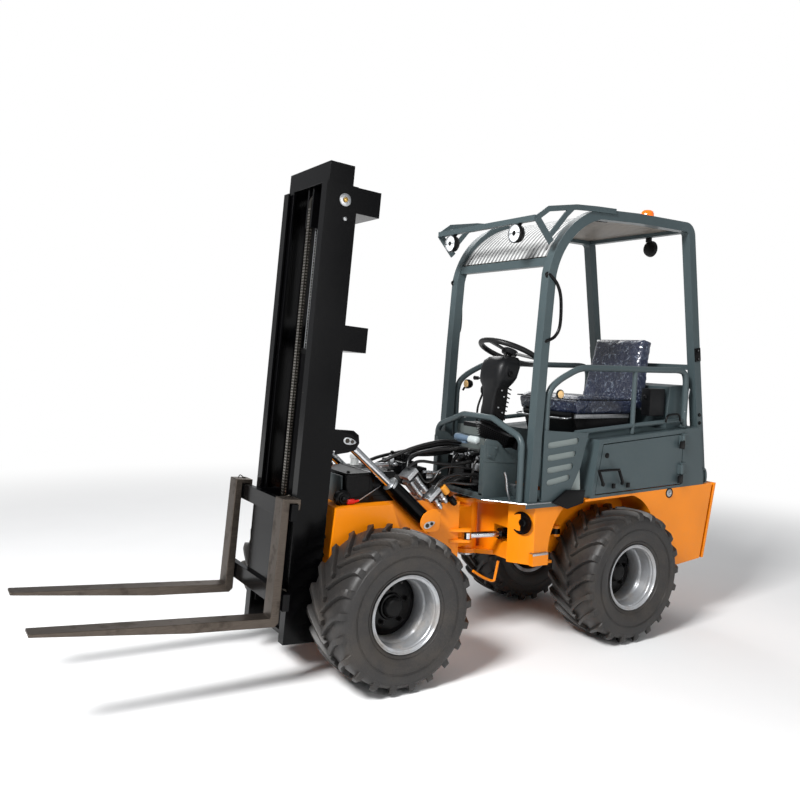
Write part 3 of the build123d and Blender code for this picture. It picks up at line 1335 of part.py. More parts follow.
    # knuckle on the pivot pin, with its arm
    knuckle_low = YOKE_BOTTOM_Z + YOKE_THICKNESS + SEAT_GAP
    knuckle_high = YOKE_TOP_Z - YOKE_THICKNESS - SEAT_GAP
    with BuildSketch(Plane.XY.offset(knuckle_low)):
        with Locations((PIVOT_X, 0)):
            Circle(KNUCKLE_DIAMETER / 2)
    extrude(amount=knuckle_high - knuckle_low)
    with BuildSketch(Plane.XY.offset(knuckle_low + 20)):
        Polygon(
            (PIVOT_X, KNUCKLE_HALF),
            (PIVOT_X, -KNUCKLE_HALF),
            (REAR_AXLE_X + NARROW_REAR_X + 2, -KNUCKLE_HALF - 40),
            (REAR_AXLE_X + NARROW_REAR_X + 2, KNUCKLE_HALF + 40),
            align=None,
        )
    extrude(amount=knuckle_high - knuckle_low - 40)
    with BuildSketch(Plane.XY.offset(knuckle_low - 1)):
        with Locations((PIVOT_X, 0)):
            Circle(PIVOT_PIN_DIAMETER / 2 + SEAT_GAP)
    extrude(amount=knuckle_high - knuckle_low + 2, mode=Mode.SUBTRACT)
    # clevis for the steering cylinder, open between its two plates
    steer_x = REAR_AXLE_X + STEER_EYE[0]
    for plate_z in (STEER_Z - STEER_EYE_HALF - MOVING_GAP - STEER_PLATE, STEER_Z + STEER_EYE_HALF + MOVING_GAP):
        with BuildSketch(Plane.XY.offset(plate_z)):
            with Locations((steer_x, STEER_EYE[1])):
                Circle(24)
            Polygon(
                (steer_x, STEER_EYE[1] + 24),
                (steer_x, STEER_EYE[1] - 24),
                (REAR_AXLE_X + NARROW_REAR_X + 2, NARROW_HALF_WIDTH - 50),
                (REAR_AXLE_X + NARROW_REAR_X + 60, NARROW_HALF_WIDTH - 4),
                (REAR_AXLE_X + NARROW_REAR_X + 50, NARROW_HALF_WIDTH + 6),
                align=None,
            )
        extrude(amount=STEER_PLATE)
front_frame.part.label = "front_frame"
export_step(front_frame.part, "parts/front_frame.step")

# Black tank on the front frame
TANK = (1215, 1480, NARROW_HALF_WIDTH - 4, 138)
with BuildPart() as front_tank:
    tank_rear, tank_front, tank_half, tank_height = TANK
    with BuildSketch(Plane.XY.offset(WIDE_TOP_Z)):
        with Locations((REAR_AXLE_X + (tank_rear + tank_front) / 2, 0)):
            RectangleRounded(tank_front - tank_rear, 2 * tank_half, 18)
    extrude(amount=tank_height)
    fillet(front_tank.faces().sort_by(Axis.Z)[-1].edges(), 8)
front_tank.part.label = "front_tank"
export_step(front_tank.part, "parts/front_tank.step")

# Outer mast: two channels tied by rear beams, with pivot lugs and tilt ears
TILT_PIN = (-20, 763)
TILT_EYE_RADIUS = 26
SHOE_THICKNESS = 18
SHOE_HALF_WIDTH = OUTER_HALF_WIDTH - 112
LIFT_AXIS_X = 105
with BuildPart(MAST_FRAME) as outer_mast:
    with BuildSketch(MAST_FRAME.offset(OUTER_BOTTOM)):
        with BuildLine():
            Polyline(
                (MAST_FRONT, OUTER_HALF_WIDTH),
                (MAST_BACK, OUTER_HALF_WIDTH),
                (MAST_BACK, OUTER_HALF_WIDTH - OUTER_FLANGE_REACH),
                (MAST_BACK + OUTER_FLANGE, OUTER_HALF_WIDTH - OUTER_FLANGE_REACH),
                (MAST_BACK + OUTER_FLANGE, OUTER_HALF_WIDTH - OUTER_WEB),
                (MAST_FRONT - OUTER_FLANGE, OUTER_HALF_WIDTH - OUTER_WEB),
                (MAST_FRONT - OUTER_FLANGE, OUTER_HALF_WIDTH - OUTER_FLANGE_REACH),
                (MAST_FRONT, OUTER_HALF_WIDTH - OUTER_FLANGE_REACH),
                close=True,
            )
        make_face()
    extrude(amount=OUTER_TOP - OUTER_BOTTOM)
    # pivot lug
    with BuildSketch(mast_side(MAST_LUG_Y + MAST_LUG / 2)):
        Circle(32)
        Polygon((0, 32), (0, -32), (MAST_BACK + 8, -60), (MAST_BACK + 8, 90), align=None)
        Circle(MAST_PIN_DIAMETER / 2 + SEAT_GAP, mode=Mode.SUBTRACT)
    extrude(amount=MAST_LUG)
    # ears beside the tilt rod's eye
    for ear_y in (TILT_Y - TILT_EYE_HALF - MOVING_GAP - TILT_BRACKET, TILT_Y + TILT_EYE_HALF + MOVING_GAP):
        with BuildSketch(mast_side(ear_y + TILT_BRACKET)):
            with Locations(TILT_PIN):
                Circle(32)
            Polygon(
                (TILT_PIN[0], TILT_PIN[1] + 32),
                (TILT_PIN[0], TILT_PIN[1] - 32),
                (MAST_BACK + 4, TILT_PIN[1] - 46),
                (MAST_BACK + 4, TILT_PIN[1] + 46),
                align=None,
            )
        extrude(amount=TILT_BRACKET)
    with Locations((MAST_BACK + 4, TILT_Y, TILT_PIN[1])):
        Box(
            PLATE,
            2 * (TILT_EYE_HALF + MOVING_GAP + TILT_BRACKET),
            92,
            align=(Align.MAX, Align.CENTER, Align.CENTER),
        )
    mirror(about=Plane.XZ)
    for beam_z in (TOP_BEAM_Z, MIDDLE_BEAM_Z):
        with Locations((MAST_BACK - BEAM_DEPTH / 2 + 1, 0, beam_z)):
            Box(BEAM_DEPTH, 2 * OUTER_HALF_WIDTH, BEAM_HEIGHT)
    # lower cross plate and the shoe under the lift cylinder
    with Locations((MAST_BACK - 2, 0, OUTER_BOTTOM)):
        Box(
            OUTER_FLANGE + 2,
            2 * (OUTER_HALF_WIDTH - OUTER_FLANGE_REACH) + 20,
            190,
            align=(Align.MIN, Align.CENTER, Align.MIN),
        )
        Box(
            LIFT_AXIS_X + 50 - MAST_BACK,
            2 * SHOE_HALF_WIDTH,
            SHOE_THICKNESS,
            align=(Align.MIN, Align.CENTER, Align.MIN),
        )
outer_mast.part.label = "outer_mast"
export_step(outer_mast.part, "parts/outer_mast.step")

# Lift cylinder standing on the shoe, and its rod
LIFT_BARREL_DIAMETER = 90
LIFT_ROD_DIAMETER = 50
LIFT_BARREL_TOP = 1140
LIFT_ROD_TOP = 1680
LIFT_ROD_BOTTOM = 0
with BuildPart() as lift_barrel:
    with BuildSketch(MAST_FRAME.offset(OUTER_BOTTOM + SHOE_THICKNESS)):
        with Locations((LIFT_AXIS_X, 0)):
            Circle(LIFT_BARREL_DIAMETER / 2)
    extrude(amount=LIFT_BARREL_TOP - OUTER_BOTTOM - SHOE_THICKNESS)
    with BuildSketch(MAST_FRAME.offset(OUTER_BOTTOM + SHOE_THICKNESS + 8)):
        with Locations((LIFT_AXIS_X, 0)):
            Circle(LIFT_ROD_DIAMETER / 2 + SEAT_GAP)
    extrude(amount=LIFT_BARREL_TOP - OUTER_BOTTOM, mode=Mode.SUBTRACT)
lift_barrel.part.label = "lift_barrel"
export_step(lift_barrel.part, "parts/lift_barrel.step")

with BuildPart() as lift_rod:
    with BuildSketch(MAST_FRAME.offset(LIFT_ROD_BOTTOM)):
        with Locations((LIFT_AXIS_X, 0)):
            Circle(LIFT_ROD_DIAMETER / 2)
    extrude(amount=LIFT_ROD_TOP - LIFT_ROD_BOTTOM)
lift_rod.part.label = "lift_rod"
export_step(lift_rod.part, "parts/lift_rod.step")

# Inner mast: two channels, a head plate in front, a tie behind, and the sheave's yoke on the rod
HEAD_PLATE = 12
SHEAVE_RADIUS = 50
SHEAVE_WIDTH = 26
SHEAVE_Z = 1790
CHAIN_X = 160
CHAIN_THICKNESS = 16
CHAIN_WIDTH = 26
CHAIN_BOTTOM = 480
CHAIN_REAR_BOTTOM = 1300
SHEAVE_X = CHAIN_X - SHEAVE_RADIUS
YOKE_CHEEK = 12
ROLLER_GAP = 0.3
with BuildPart(MAST_FRAME) as inner_mast:
    with BuildSketch(MAST_FRAME.offset(INNER_BOTTOM)):
        with BuildLine():
            Polyline(
                (INNER_FRONT, INNER_HALF_WIDTH),
                (INNER_BACK, INNER_HALF_WIDTH),
                (INNER_BACK, INNER_HALF_WIDTH - INNER_FLANGE_REACH),
                (INNER_BACK + INNER_FLANGE, INNER_HALF_WIDTH - INNER_FLANGE_REACH),
                (INNER_BACK + INNER_FLANGE, INNER_HALF_WIDTH - INNER_WEB),
                (INNER_FRONT - INNER_FLANGE, INNER_HALF_WIDTH - INNER_WEB),
                (INNER_FRONT - INNER_FLANGE, INNER_HALF_WIDTH - INNER_FLANGE_REACH),
                (INNER_FRONT, INNER_HALF_WIDTH - INNER_FLANGE_REACH),
                close=True,
            )
        make_face()
    extrude(amount=INNER_TOP - INNER_BOTTOM)
    mirror(about=Plane.XZ)
    with Locations((INNER_FRONT, 0, INNER_TOP)):
        Box(HEAD_PLATE, 2 * INNER_HALF_WIDTH, HEAD_HEIGHT, align=(Align.MAX, Align.CENTER, Align.MAX))
    with Locations((INNER_BACK, 0, INNER_TOP)):
        Box(HEAD_PLATE, 2 * INNER_HALF_WIDTH, HEAD_HEIGHT, align=(Align.MIN, Align.CENTER, Align.MAX))
    cheek_y = SHEAVE_WIDTH / 2 + 4
    for side in (1, -1):
        with Locations((INNER_BACK, side * (cheek_y + YOKE_CHEEK / 2), LIFT_ROD_TOP)):
            Box(
                INNER_DEPTH - HEAD_PLATE - 4,
                YOKE_CHEEK,
                INNER_TOP - HEAD_HEIGHT + 20 - LIFT_ROD_TOP,
                align=(Align.MIN, Align.CENTER, Align.MIN),
            )
    with Locations((LIFT_AXIS_X, 0, LIFT_ROD_TOP)):
        Box(60, 2 * cheek_y + 2, 20, align=(Align.CENTER, Align.CENTER, Align.MIN))
inner_mast.part.label = "inner_mast"
export_step(inner_mast.part, "parts/inner_mast.step")

# Sheave on its axle, and the chain over it
with BuildPart() as chain_sheave:
    with BuildSketch(mast_side(SHEAVE_WIDTH / 2)):
        with Locations((SHEAVE_X, SHEAVE_Z)):
            Circle(SHEAVE_RADIUS - CHAIN_THICKNESS / 2 - SEAT_GAP)
    extrude(amount=SHEAVE_WIDTH)
    with BuildSketch(mast_side(cheek_y - SEAT_GAP)):
        with Locations((SHEAVE_X, SHEAVE_Z)):
            Circle(16)
    extrude(amount=2 * (cheek_y - SEAT_GAP))
chain_sheave.part.label = "chain_sheave"
export_step(chain_sheave.part, "parts/chain_sheave.step")

with BuildPart() as lift_chain:
    with BuildSketch(mast_side(CHAIN_WIDTH / 2)):
        with BuildLine():
            Line((CHAIN_X, CHAIN_BOTTOM), (CHAIN_X, SHEAVE_Z))
            ThreePointArc(
                (CHAIN_X, SHEAVE_Z),
                (SHEAVE_X, SHEAVE_Z + SHEAVE_RADIUS),
                (SHEAVE_X - SHEAVE_RADIUS, SHEAVE_Z),
            )
            Line((SHEAVE_X - SHEAVE_RADIUS, SHEAVE_Z), (SHEAVE_X - SHEAVE_RADIUS, CHAIN_REAR_BOTTOM))
        trace(line_width=CHAIN_THICKNESS)
    extrude(amount=CHAIN_WIDTH)
lift_chain.part.label = "lift_chain"
export_step(lift_chain.part, "parts/lift_chain.step")

# Carriage: two bars, side plates with rollers in the inner channels, and a back plate
BAR_BACK = 233
BAR_THICKNESS = 30
BAR_HALF_WIDTH = 318
UPPER_BAR = (430, 500)
LOWER_BAR = (58, 128)
CARRIAGE_SIDE_Y = OUTER_HALF_WIDTH - 92
CARRIAGE_SIDE = 14
ROLLER_PLACES = (110, 450)
ROLLER_X = (INNER_FRONT + INNER_BACK) / 2
ROLLER_RADIUS = INNER_DEPTH / 2 - INNER_FLANGE - ROLLER_GAP
ROLLER_WIDTH = 32
with BuildPart(MAST_FRAME) as carriage:
    for low, high in (UPPER_BAR, LOWER_BAR):
        with Locations((BAR_BACK, 0, low)):
            Box(
                BAR_THICKNESS,
                2 * BAR_HALF_WIDTH,
                high - low,
                align=(Align.MIN, Align.CENTER, Align.MIN),
            )
    with Locations((BAR_BACK, 0, LOWER_BAR[1])):
        Box(
            PLATE,
            2 * CARRIAGE_SIDE_Y,
            UPPER_BAR[0] - LOWER_BAR[1],
            align=(Align.MIN, Align.CENTER, Align.MIN),
        )
    for side in (1, -1):
        with Locations((ROLLER_X - 20, side * (CARRIAGE_SIDE_Y - CARRIAGE_SIDE / 2), LOWER_BAR[0])):
            Box(
                BAR_BACK - ROLLER_X + 21,
                CARRIAGE_SIDE,
                UPPER_BAR[1] - LOWER_BAR[0],
                align=(Align.MIN, Align.CENTER, Align.MIN),
            )
        for roller_z in ROLLER_PLACES:
            with BuildSketch(mast_side(side * (CARRIAGE_SIDE_Y - 2))):
                with Locations((ROLLER_X, roller_z)):
                    Circle(15)
            extrude(amount=-side * (INNER_HALF_WIDTH - INNER_WEB - CARRIAGE_SIDE_Y - 10))
            with BuildSketch(mast_side(side * (INNER_HALF_WIDTH - INNER_WEB - 5))):
                with Locations((ROLLER_X, roller_z)):
                    Circle(ROLLER_RADIUS)
            extrude(amount=side * ROLLER_WIDTH)
carriage.part.label = "carriage"
export_step(carriage.part, "parts/carriage.step")

# Forks: a shank with a hook over the upper bar and a tapering blade
FORK_Y = 266
FORK_WIDTH = 80
FORK_THICKNESS = 38
BLADE_HEEL_TOP = 30
SHANK_TOP = 520
SHANK_TAPER = 6
fork_back = FORK_FRONT - FORK_THICKNESS
blade_tip = FORK_FRONT + BLADE_LENGTH
for name, side in (("fork_left", 1), ("fork_right", -1)):
    with BuildPart() as fork:
        with BuildSketch(mast_side(side * FORK_Y + FORK_WIDTH / 2)):
            Polygon(
                (BAR_BACK - SEAT_GAP - 14, SHANK_TOP),
                (BAR_BACK - SEAT_GAP - 14, UPPER_BAR[1] - 26),
                (BAR_BACK - SEAT_GAP, UPPER_BAR[1] - 26),
                (BAR_BACK - SEAT_GAP, UPPER_BAR[1] + SEAT_GAP),
                (fork_back, UPPER_BAR[1] + SEAT_GAP),
                (fork_back, BLADE_HEEL_TOP - FORK_THICKNESS + 16),
                (fork_back + 16, BLADE_HEEL_TOP - FORK_THICKNESS),
                (FORK_FRONT + 330, BLADE_HEEL_TOP - FORK_THICKNESS + 3),
                (blade_tip, BLADE_TIP_TOP - TIP_THICKNESS),
                (blade_tip, BLADE_TIP_TOP),
                (FORK_FRONT, BLADE_HEEL_TOP),
                (FORK_FRONT - SHANK_TAPER, SHANK_TOP),
                align=None,
            )
        extrude(amount=FORK_WIDTH)
    fork.part.label = name
    export_step(fork.part, f"parts/{name}.step")

# Tilt cylinders: both barrels turn together on the base pins, both rods slide in them
TILT_BARREL_DIAMETER = 74
TILT_ROD_DIAMETER = 38
TILT_BARREL_START = 52
TILT_BARREL_END = 300
TILT_CAP = 12
tilt_top_x, tilt_top_z = mast_point(*TILT_PIN)
tilt_length = hypot(tilt_top_x - tilt_base_x, tilt_top_z - tilt_base_z)
tilt_angle = atan2(tilt_top_z - tilt_base_z, tilt_top_x - tilt_base_x)
tilt_along = (cos(tilt_angle), 0, sin(tilt_angle))
TILT_ROD_END = TILT_BARREL_END - 130


def tilt_plane(y, along):
    """Plane across a tilt cylinder at a distance from its base pin."""
    return Plane(
        origin=(tilt_base_x + along * tilt_along[0], y, tilt_base_z + along * tilt_along[2]),
        x_dir=(0, 1, 0),
        z_dir=tilt_along,
    )


with BuildPart() as tilt_barrels:
    for side in (1, -1):
        with BuildSketch(at_y(side * TILT_Y + TILT_EYE_HALF)):
            with Locations((tilt_base_x, tilt_base_z)):
                Circle(TILT_EYE_RADIUS)
        extrude(amount=2 * TILT_EYE_HALF)
        with BuildSketch(tilt_plane(side * TILT_Y, 0)):
            Rectangle(2 * TILT_EYE_HALF, 36)
        extrude(amount=TILT_BARREL_START + 1)
        with BuildSketch(tilt_plane(side * TILT_Y, TILT_BARREL_START)):
            Circle(TILT_BARREL_DIAMETER / 2)
        extrude(amount=TILT_BARREL_END - TILT_BARREL_START)
        with BuildSketch(tilt_plane(side * TILT_Y, TILT_BARREL_START + TILT_CAP)):
            Circle(TILT_ROD_DIAMETER / 2 + SEAT_GAP)
        extrude(amount=TILT_BARREL_END - TILT_BARREL_START, mode=Mode.SUBTRACT)
        with BuildSketch(at_y(side * TILT_Y + TILT_EYE_HALF + 1)):
            with Locations((tilt_base_x, tilt_base_z)):
                Circle(TILT_PIN_DIAMETER / 2 + SEAT_GAP)
        extrude(amount=2 * TILT_EYE_HALF + 2, mode=Mode.SUBTRACT)
tilt_barrels.part.label = "tilt_barrels"
export_step(tilt_barrels.part, "parts/tilt_barrels.step")

with BuildPart() as tilt_rods:
    for side in (1, -1):
        with BuildSketch(tilt_plane(side * TILT_Y, TILT_ROD_END)):
            Circle(TILT_ROD_DIAMETER / 2)
        extrude(amount=tilt_length - TILT_ROD_END - 10)
        with BuildSketch(at_y(side * TILT_Y + TILT_EYE_HALF)):
            with Locations((tilt_top_x, tilt_top_z)):
                Circle(TILT_EYE_RADIUS)
                Circle(TILT_PIN_DIAMETER / 2, mode=Mode.SUBTRACT)
        extrude(amount=2 * TILT_EYE_HALF)
tilt_rods.part.label = "tilt_rods"
export_step(tilt_rods.part, "parts/tilt_rods.step")

# Steering cylinder from a bracket in the rear frame to the clevis on the front frame
STEER_ROD_DIAMETER = 30
STEER_BARREL_START = 44
STEER_BARREL_END = 328
steer_base_x = REAR_AXLE_X + STEER_BASE[0]
steer_length = hypot(steer_x - steer_base_x, STEER_EYE[1] - STEER_BASE[1])
steer_angle = atan2(STEER_EYE[1] - STEER_BASE[1], steer_x - steer_base_x)
STEER_ROD_END = steer_length - 325


def steer_plane(along):
    """Plane across the steering cylinder at a distance from its base pin."""
    return Plane(
        origin=(
            steer_base_x + along * cos(steer_angle),
            STEER_BASE[1] + along * sin(steer_angle),
            STEER_Z,
        ),
        x_dir=(0, 0, 1),
        z_dir=(cos(steer_angle), sin(steer_angle), 0),
    )


with BuildPart() as steer_barrel:
    with BuildSketch(Plane.XY.offset(STEER_Z - STEER_EYE_HALF)):
        with Locations((steer_base_x, STEER_BASE[1])):
            Circle(24)
    extrude(amount=2 * STEER_EYE_HALF)
    with BuildSketch(steer_plane(0)):
        Rectangle(2 * STEER_EYE_HALF, 34)
    extrude(amount=STEER_BARREL_START + 1)
    with BuildSketch(steer_plane(STEER_BARREL_START)):
        Circle(STEER_BARREL_DIAMETER / 2)
    extrude(amount=STEER_BARREL_END - STEER_BARREL_START)
    with BuildSketch(steer_plane(STEER_BARREL_START + 4)):
        Circle(STEER_ROD_DIAMETER / 2 + SEAT_GAP)
    extrude(amount=STEER_BARREL_END - STEER_BARREL_START, mode=Mode.SUBTRACT)
    with BuildSketch(Plane.XY.offset(STEER_Z - STEER_EYE_HALF - 1)):
        with Locations((steer_base_x, STEER_BASE[1])):
            Circle(TILT_PIN_DIAMETER / 2 + SEAT_GAP)
    extrude(amount=2 * STEER_EYE_HALF + 2, mode=Mode.SUBTRACT)
steer_barrel.part.label = "steer_barrel"
export_step(steer_barrel.part, "parts/steer_barrel.step")

with BuildPart() as steer_rod:
    with BuildSketch(steer_plane(STEER_ROD_END)):
        Circle(STEER_ROD_DIAMETER / 2)
    extrude(amount=steer_length - STEER_ROD_END - 16)
    with BuildSketch(Plane.XY.offset(STEER_Z - STEER_EYE_HALF)):
        with Locations((steer_x, STEER_EYE[1])):
            Circle(24)
            Circle(TILT_PIN_DIAMETER / 2, mode=Mode.SUBTRACT)
    extrude(amount=2 * STEER_EYE_HALF)
steer_rod.part.label = "steer_rod"
export_step(steer_rod.part, "parts/steer_rod.step")
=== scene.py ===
import json
import math

import bmesh
import bpy
from mathutils import Matrix, Vector


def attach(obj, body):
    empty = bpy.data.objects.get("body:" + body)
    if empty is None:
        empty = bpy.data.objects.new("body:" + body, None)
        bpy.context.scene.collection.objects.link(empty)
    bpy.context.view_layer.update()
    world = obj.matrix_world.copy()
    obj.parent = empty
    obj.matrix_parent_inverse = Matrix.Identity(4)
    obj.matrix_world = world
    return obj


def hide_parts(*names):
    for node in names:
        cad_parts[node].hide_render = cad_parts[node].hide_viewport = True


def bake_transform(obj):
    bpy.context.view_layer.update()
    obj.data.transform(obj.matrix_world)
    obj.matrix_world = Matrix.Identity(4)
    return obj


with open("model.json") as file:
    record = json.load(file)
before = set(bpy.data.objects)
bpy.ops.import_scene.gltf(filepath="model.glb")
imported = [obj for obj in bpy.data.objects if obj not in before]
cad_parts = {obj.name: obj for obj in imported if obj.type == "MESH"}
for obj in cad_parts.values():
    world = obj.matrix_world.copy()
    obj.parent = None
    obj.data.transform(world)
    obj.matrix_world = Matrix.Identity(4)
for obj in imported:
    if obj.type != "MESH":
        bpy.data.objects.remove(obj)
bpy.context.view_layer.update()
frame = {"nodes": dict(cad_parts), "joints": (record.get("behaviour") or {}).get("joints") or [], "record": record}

# Places. Side view points are given in millimetres from the rear axle.
JOINTS = {joint["name"]: joint for joint in frame["joints"]}
REAR_AXLE = JOINTS["spin_rear_left"]["pos_m"][0]
FRONT_AXLE = JOINTS["spin_front_left"]["pos_m"][0]
AXLE_HEIGHT = JOINTS["spin_rear_left"]["pos_m"][2]
WHEEL_MIDDLE = JOINTS["spin_rear_left"]["pos_m"][1]
MAST_PIVOT = Vector(JOINTS["mast_tilt"]["pos_m"])
LEAN = math.radians(4)


def at(x, y, z):
    """A place given in millimetres from the rear axle, the middle and the ground."""
    return Vector((REAR_AXLE + x / 1000, y / 1000, z / 1000))


def route(*rows):
    """Places given as at takes them."""
    return [at(*row) for row in rows]


def on_mast(x, y, z):
    """A place given in millimetres in the frame of the leaning mast."""
    forward = x * math.cos(LEAN) - z * math.sin(LEAN)
    up = x * math.sin(LEAN) + z * math.cos(LEAN)
    return MAST_PIVOT + Vector((forward / 1000, y / 1000, up / 1000))


MAST_FORWARD = Vector((math.cos(LEAN), 0, math.sin(LEAN)))
MAST_UP = Vector((-math.sin(LEAN), 0, math.cos(LEAN)))
FORWARD, LEFT, UP = Vector((1, 0, 0)), Vector((0, 1, 0)), Vector((0, 0, 1))

# Camera, at the photograph's angle
CAMERA_PLACE = at(3183.5, 3283.7, 1438.0)
CAMERA_YAW, CAMERA_PITCH, CAMERA_ROLL = (math.radians(a) for a in (-122.14, 3.38, 2.30))
CAMERA_LENS = 36.126
looking = Vector(
    (
        math.cos(CAMERA_PITCH) * math.cos(CAMERA_YAW),
        math.cos(CAMERA_PITCH) * math.sin(CAMERA_YAW),
        -math.sin(CAMERA_PITCH),
    )
)
level_right = looking.cross(UP).normalized()
level_up = level_right.cross(looking)
camera_right = math.cos(CAMERA_ROLL) * level_right + math.sin(CAMERA_ROLL) * level_up
camera_up = math.cos(CAMERA_ROLL) * level_up - math.sin(CAMERA_ROLL) * level_right
camera_data = bpy.data.cameras.new("camera")
camera_data.lens = CAMERA_LENS
camera_data.sensor_width = 36
camera_data.clip_end = 60
camera = bpy.data.objects.new("camera", camera_data)
camera.matrix_world = Matrix.Translation(CAMERA_PLACE) @ Matrix(
    (
        (camera_right.x, camera_up.x, -looking.x, 0),
        (camera_right.y, camera_up.y, -looking.y, 0),
        (camera_right.z, camera_up.z, -looking.z, 0),
        (0, 0, 0, 1),
    )
)
bpy.context.scene.collection.objects.link(camera)
bpy.context.scene.camera = camera
bpy.context.scene.view_settings.view_transform = "Standard"


# Materials. A wire is one socket, and sums of wires are written as Python.
class Wire:
    def __init__(self, tree, socket):
        self.tree = tree
        self.socket = socket

    def join(self, operation, *others):
        node = self.tree.nodes.new("ShaderNodeMath")
        node.operation = operation
        for place, term in zip(node.inputs, (self, *others)):
            plug(self.tree, place, term)
        return Wire(self.tree, node.outputs[0])

    def __add__(self, other):
        return self.join("ADD", other)

    __radd__ = __add__

    def __mul__(self, other):
        return self.join("MULTIPLY", other)

    def __truediv__(self, other):
        return self.join("DIVIDE", other)

    def largest(self, other):
        return self.join("MAXIMUM", other)

    def wave(self):
        return self.join("SINE")


def plug(tree, place, value):
    if isinstance(value, Wire):
        tree.links.new(value.socket, place)
    else:
        place.default_value = value


class Maker:
    """Adds nodes to its tree, with inputs given as values or wires."""

    def node(self, kind, settings=None, out=0, **values):
        node = self.tree.nodes.new(kind)
        for key, value in (settings or {}).items():
            setattr(node, key, value)
        for key, value in values.items():
            plug(self.tree, node.inputs[key.replace("_", " ")], value)
        return Wire(self.tree, node.outputs[out])


class Finish(Maker):
    """A material, built from one Principled shader and the nodes that feed it."""

    def __init__(self, name):
        self.material = bpy.data.materials.new(name)
        self.material.use_nodes = True
        self.tree = self.material.node_tree
        self.tree.nodes.clear()
        self.shader = self.tree.nodes.new("ShaderNodeBsdfPrincipled")
        output = self.tree.nodes.new("ShaderNodeOutputMaterial")
        self.tree.links.new(self.shader.outputs[0], output.inputs["Surface"])
        self.output = output
        self.place = self.node("ShaderNodeTexCoord", out="Object")

    def stretch(self, scale):
        return self.node("ShaderNodeMapping", Vector=self.place, Scale=scale)

    def noise(self, scale, detail=4.0, roughness=0.55, distortion=0.0, place=None):
        return self.node(
            "ShaderNodeTexNoise",
            Vector=place or self.place,
            Scale=scale,
            Detail=detail,
            Roughness=roughness,
            Distortion=distortion,
        )

    def cells(self, scale):
        """Distance from the borders of small cells."""
        return self.node(
            "ShaderNodeTexVoronoi", {"feature": "DISTANCE_TO_EDGE"}, Vector=self.place, Scale=scale
        )

    def between(self, value, low, high, first=0.0, last=1.0):
        """Value brought from low to high into first to last, with soft ends."""
        node = self.tree.nodes.new("ShaderNodeMapRange")
        node.interpolation_type = "SMOOTHSTEP"
        for place, term in zip(node.inputs, (value, low, high, first, last)):
            plug(self.tree, place, term)
        return Wire(self.tree, node.outputs[0])

    def axis(self, letter):
        return self.node("ShaderNodeSeparateXYZ", out=letter, Vector=self.place)

    def mix(self, share, first, second):
        node = self.tree.nodes.new("ShaderNodeMix")
        node.data_type = "RGBA"
        for place, term in zip((node.inputs[0], node.inputs[6], node.inputs[7]), (share, first, second)):
            if not isinstance(term, Wire) and place.type == "RGBA":
                term = (*term, 1.0)
            plug(self.tree, place, term)
        return Wire(self.tree, node.outputs[2])

    def bump(self, height, depth, strength=1.0, below=None):
        """A normal from a height between 0 and 1, depth being in metres."""
        node = self.tree.nodes.new("ShaderNodeBump")
        node.inputs["Strength"].default_value = strength
        node.inputs["Distance"].default_value = depth
        plug(self.tree, node.inputs["Height"], height)
        if below is not None:
            plug(self.tree, node.inputs["Normal"], below)
        return Wire(self.tree, node.outputs[0])

    def set(self, **values):
        names = {"colour": "Base Color", "coat": "Coat Weight", "coat_roughness": "Coat Roughness"}
        for key, value in values.items():
            name = names.get(key, key.replace("_", " ").title())
            name = {"Ior": "IOR", "Specular": "Specular IOR Level"}.get(name, name)
            if isinstance(value, tuple) and len(value) == 3 and self.shader.inputs[name].type == "RGBA":
                value = (*value, 1.0)
            plug(self.tree, self.shader.inputs[name], value)
        return self


def linear(red, green, blue):
    """A colour given as a screen shows it, from 0 to 255."""
    shares = (part / 255 for part in (red, green, blue))
    return tuple(s / 12.92 if s <= 0.04045 else ((s + 0.055) / 1.055) ** 2.4 for s in shares)


def tinted(colour, factor):
    return tuple(min(1.0, part * factor) for part in colour)


DUST = linear(150, 135, 112)
BARE_SPOT = (0.12, 0.11, 0.1)


def painted(
    name, colour, roughness, coat, dust=0.25, chips=0.0, under=BARE_SPOT, peel=0.35, shine=0.3
):
    """Sprayed paint on steel: orange peel, thin dust that settles low, small chips."""
    finish = Finish(name)
    cloudy = finish.noise(1.7, 3, 0.5)
    fine = finish.noise(42, 5, 0.6)
    low = finish.between(finish.axis("Z"), 0.95, 0.15)
    tone = finish.mix(finish.between(cloudy, 0.3, 0.7), tinted(colour, 0.9), tinted(colour, 1.07))
    grime = finish.between(fine * 0.6 + cloudy * 0.4, 0.44, 0.74) * (low * 0.75 + 0.25) * dust
    tone = finish.mix(grime, tone, DUST)
    gloss = grime * 0.5 + finish.between(cloudy, 0.25, 0.75, -0.04, 0.05) + roughness
    if chips:
        spots = finish.between(finish.noise(75, 6, 0.62), 0.735 - 0.03 * chips, 0.76 - 0.03 * chips)
        where = finish.between(finish.noise(4.3, 3, 0.5), 0.5, 0.66)
        chipped = spots * where
        tone = finish.mix(chipped, tone, under)
        gloss = gloss + chipped * 0.3
    skin = finish.bump(finish.noise(240, 2, 0.5), 0.0004, peel)
    finish.set(
        colour=tone, roughness=gloss, coat=coat, coat_roughness=0.08, specular=shine, normal=skin
    )
    return finish.material


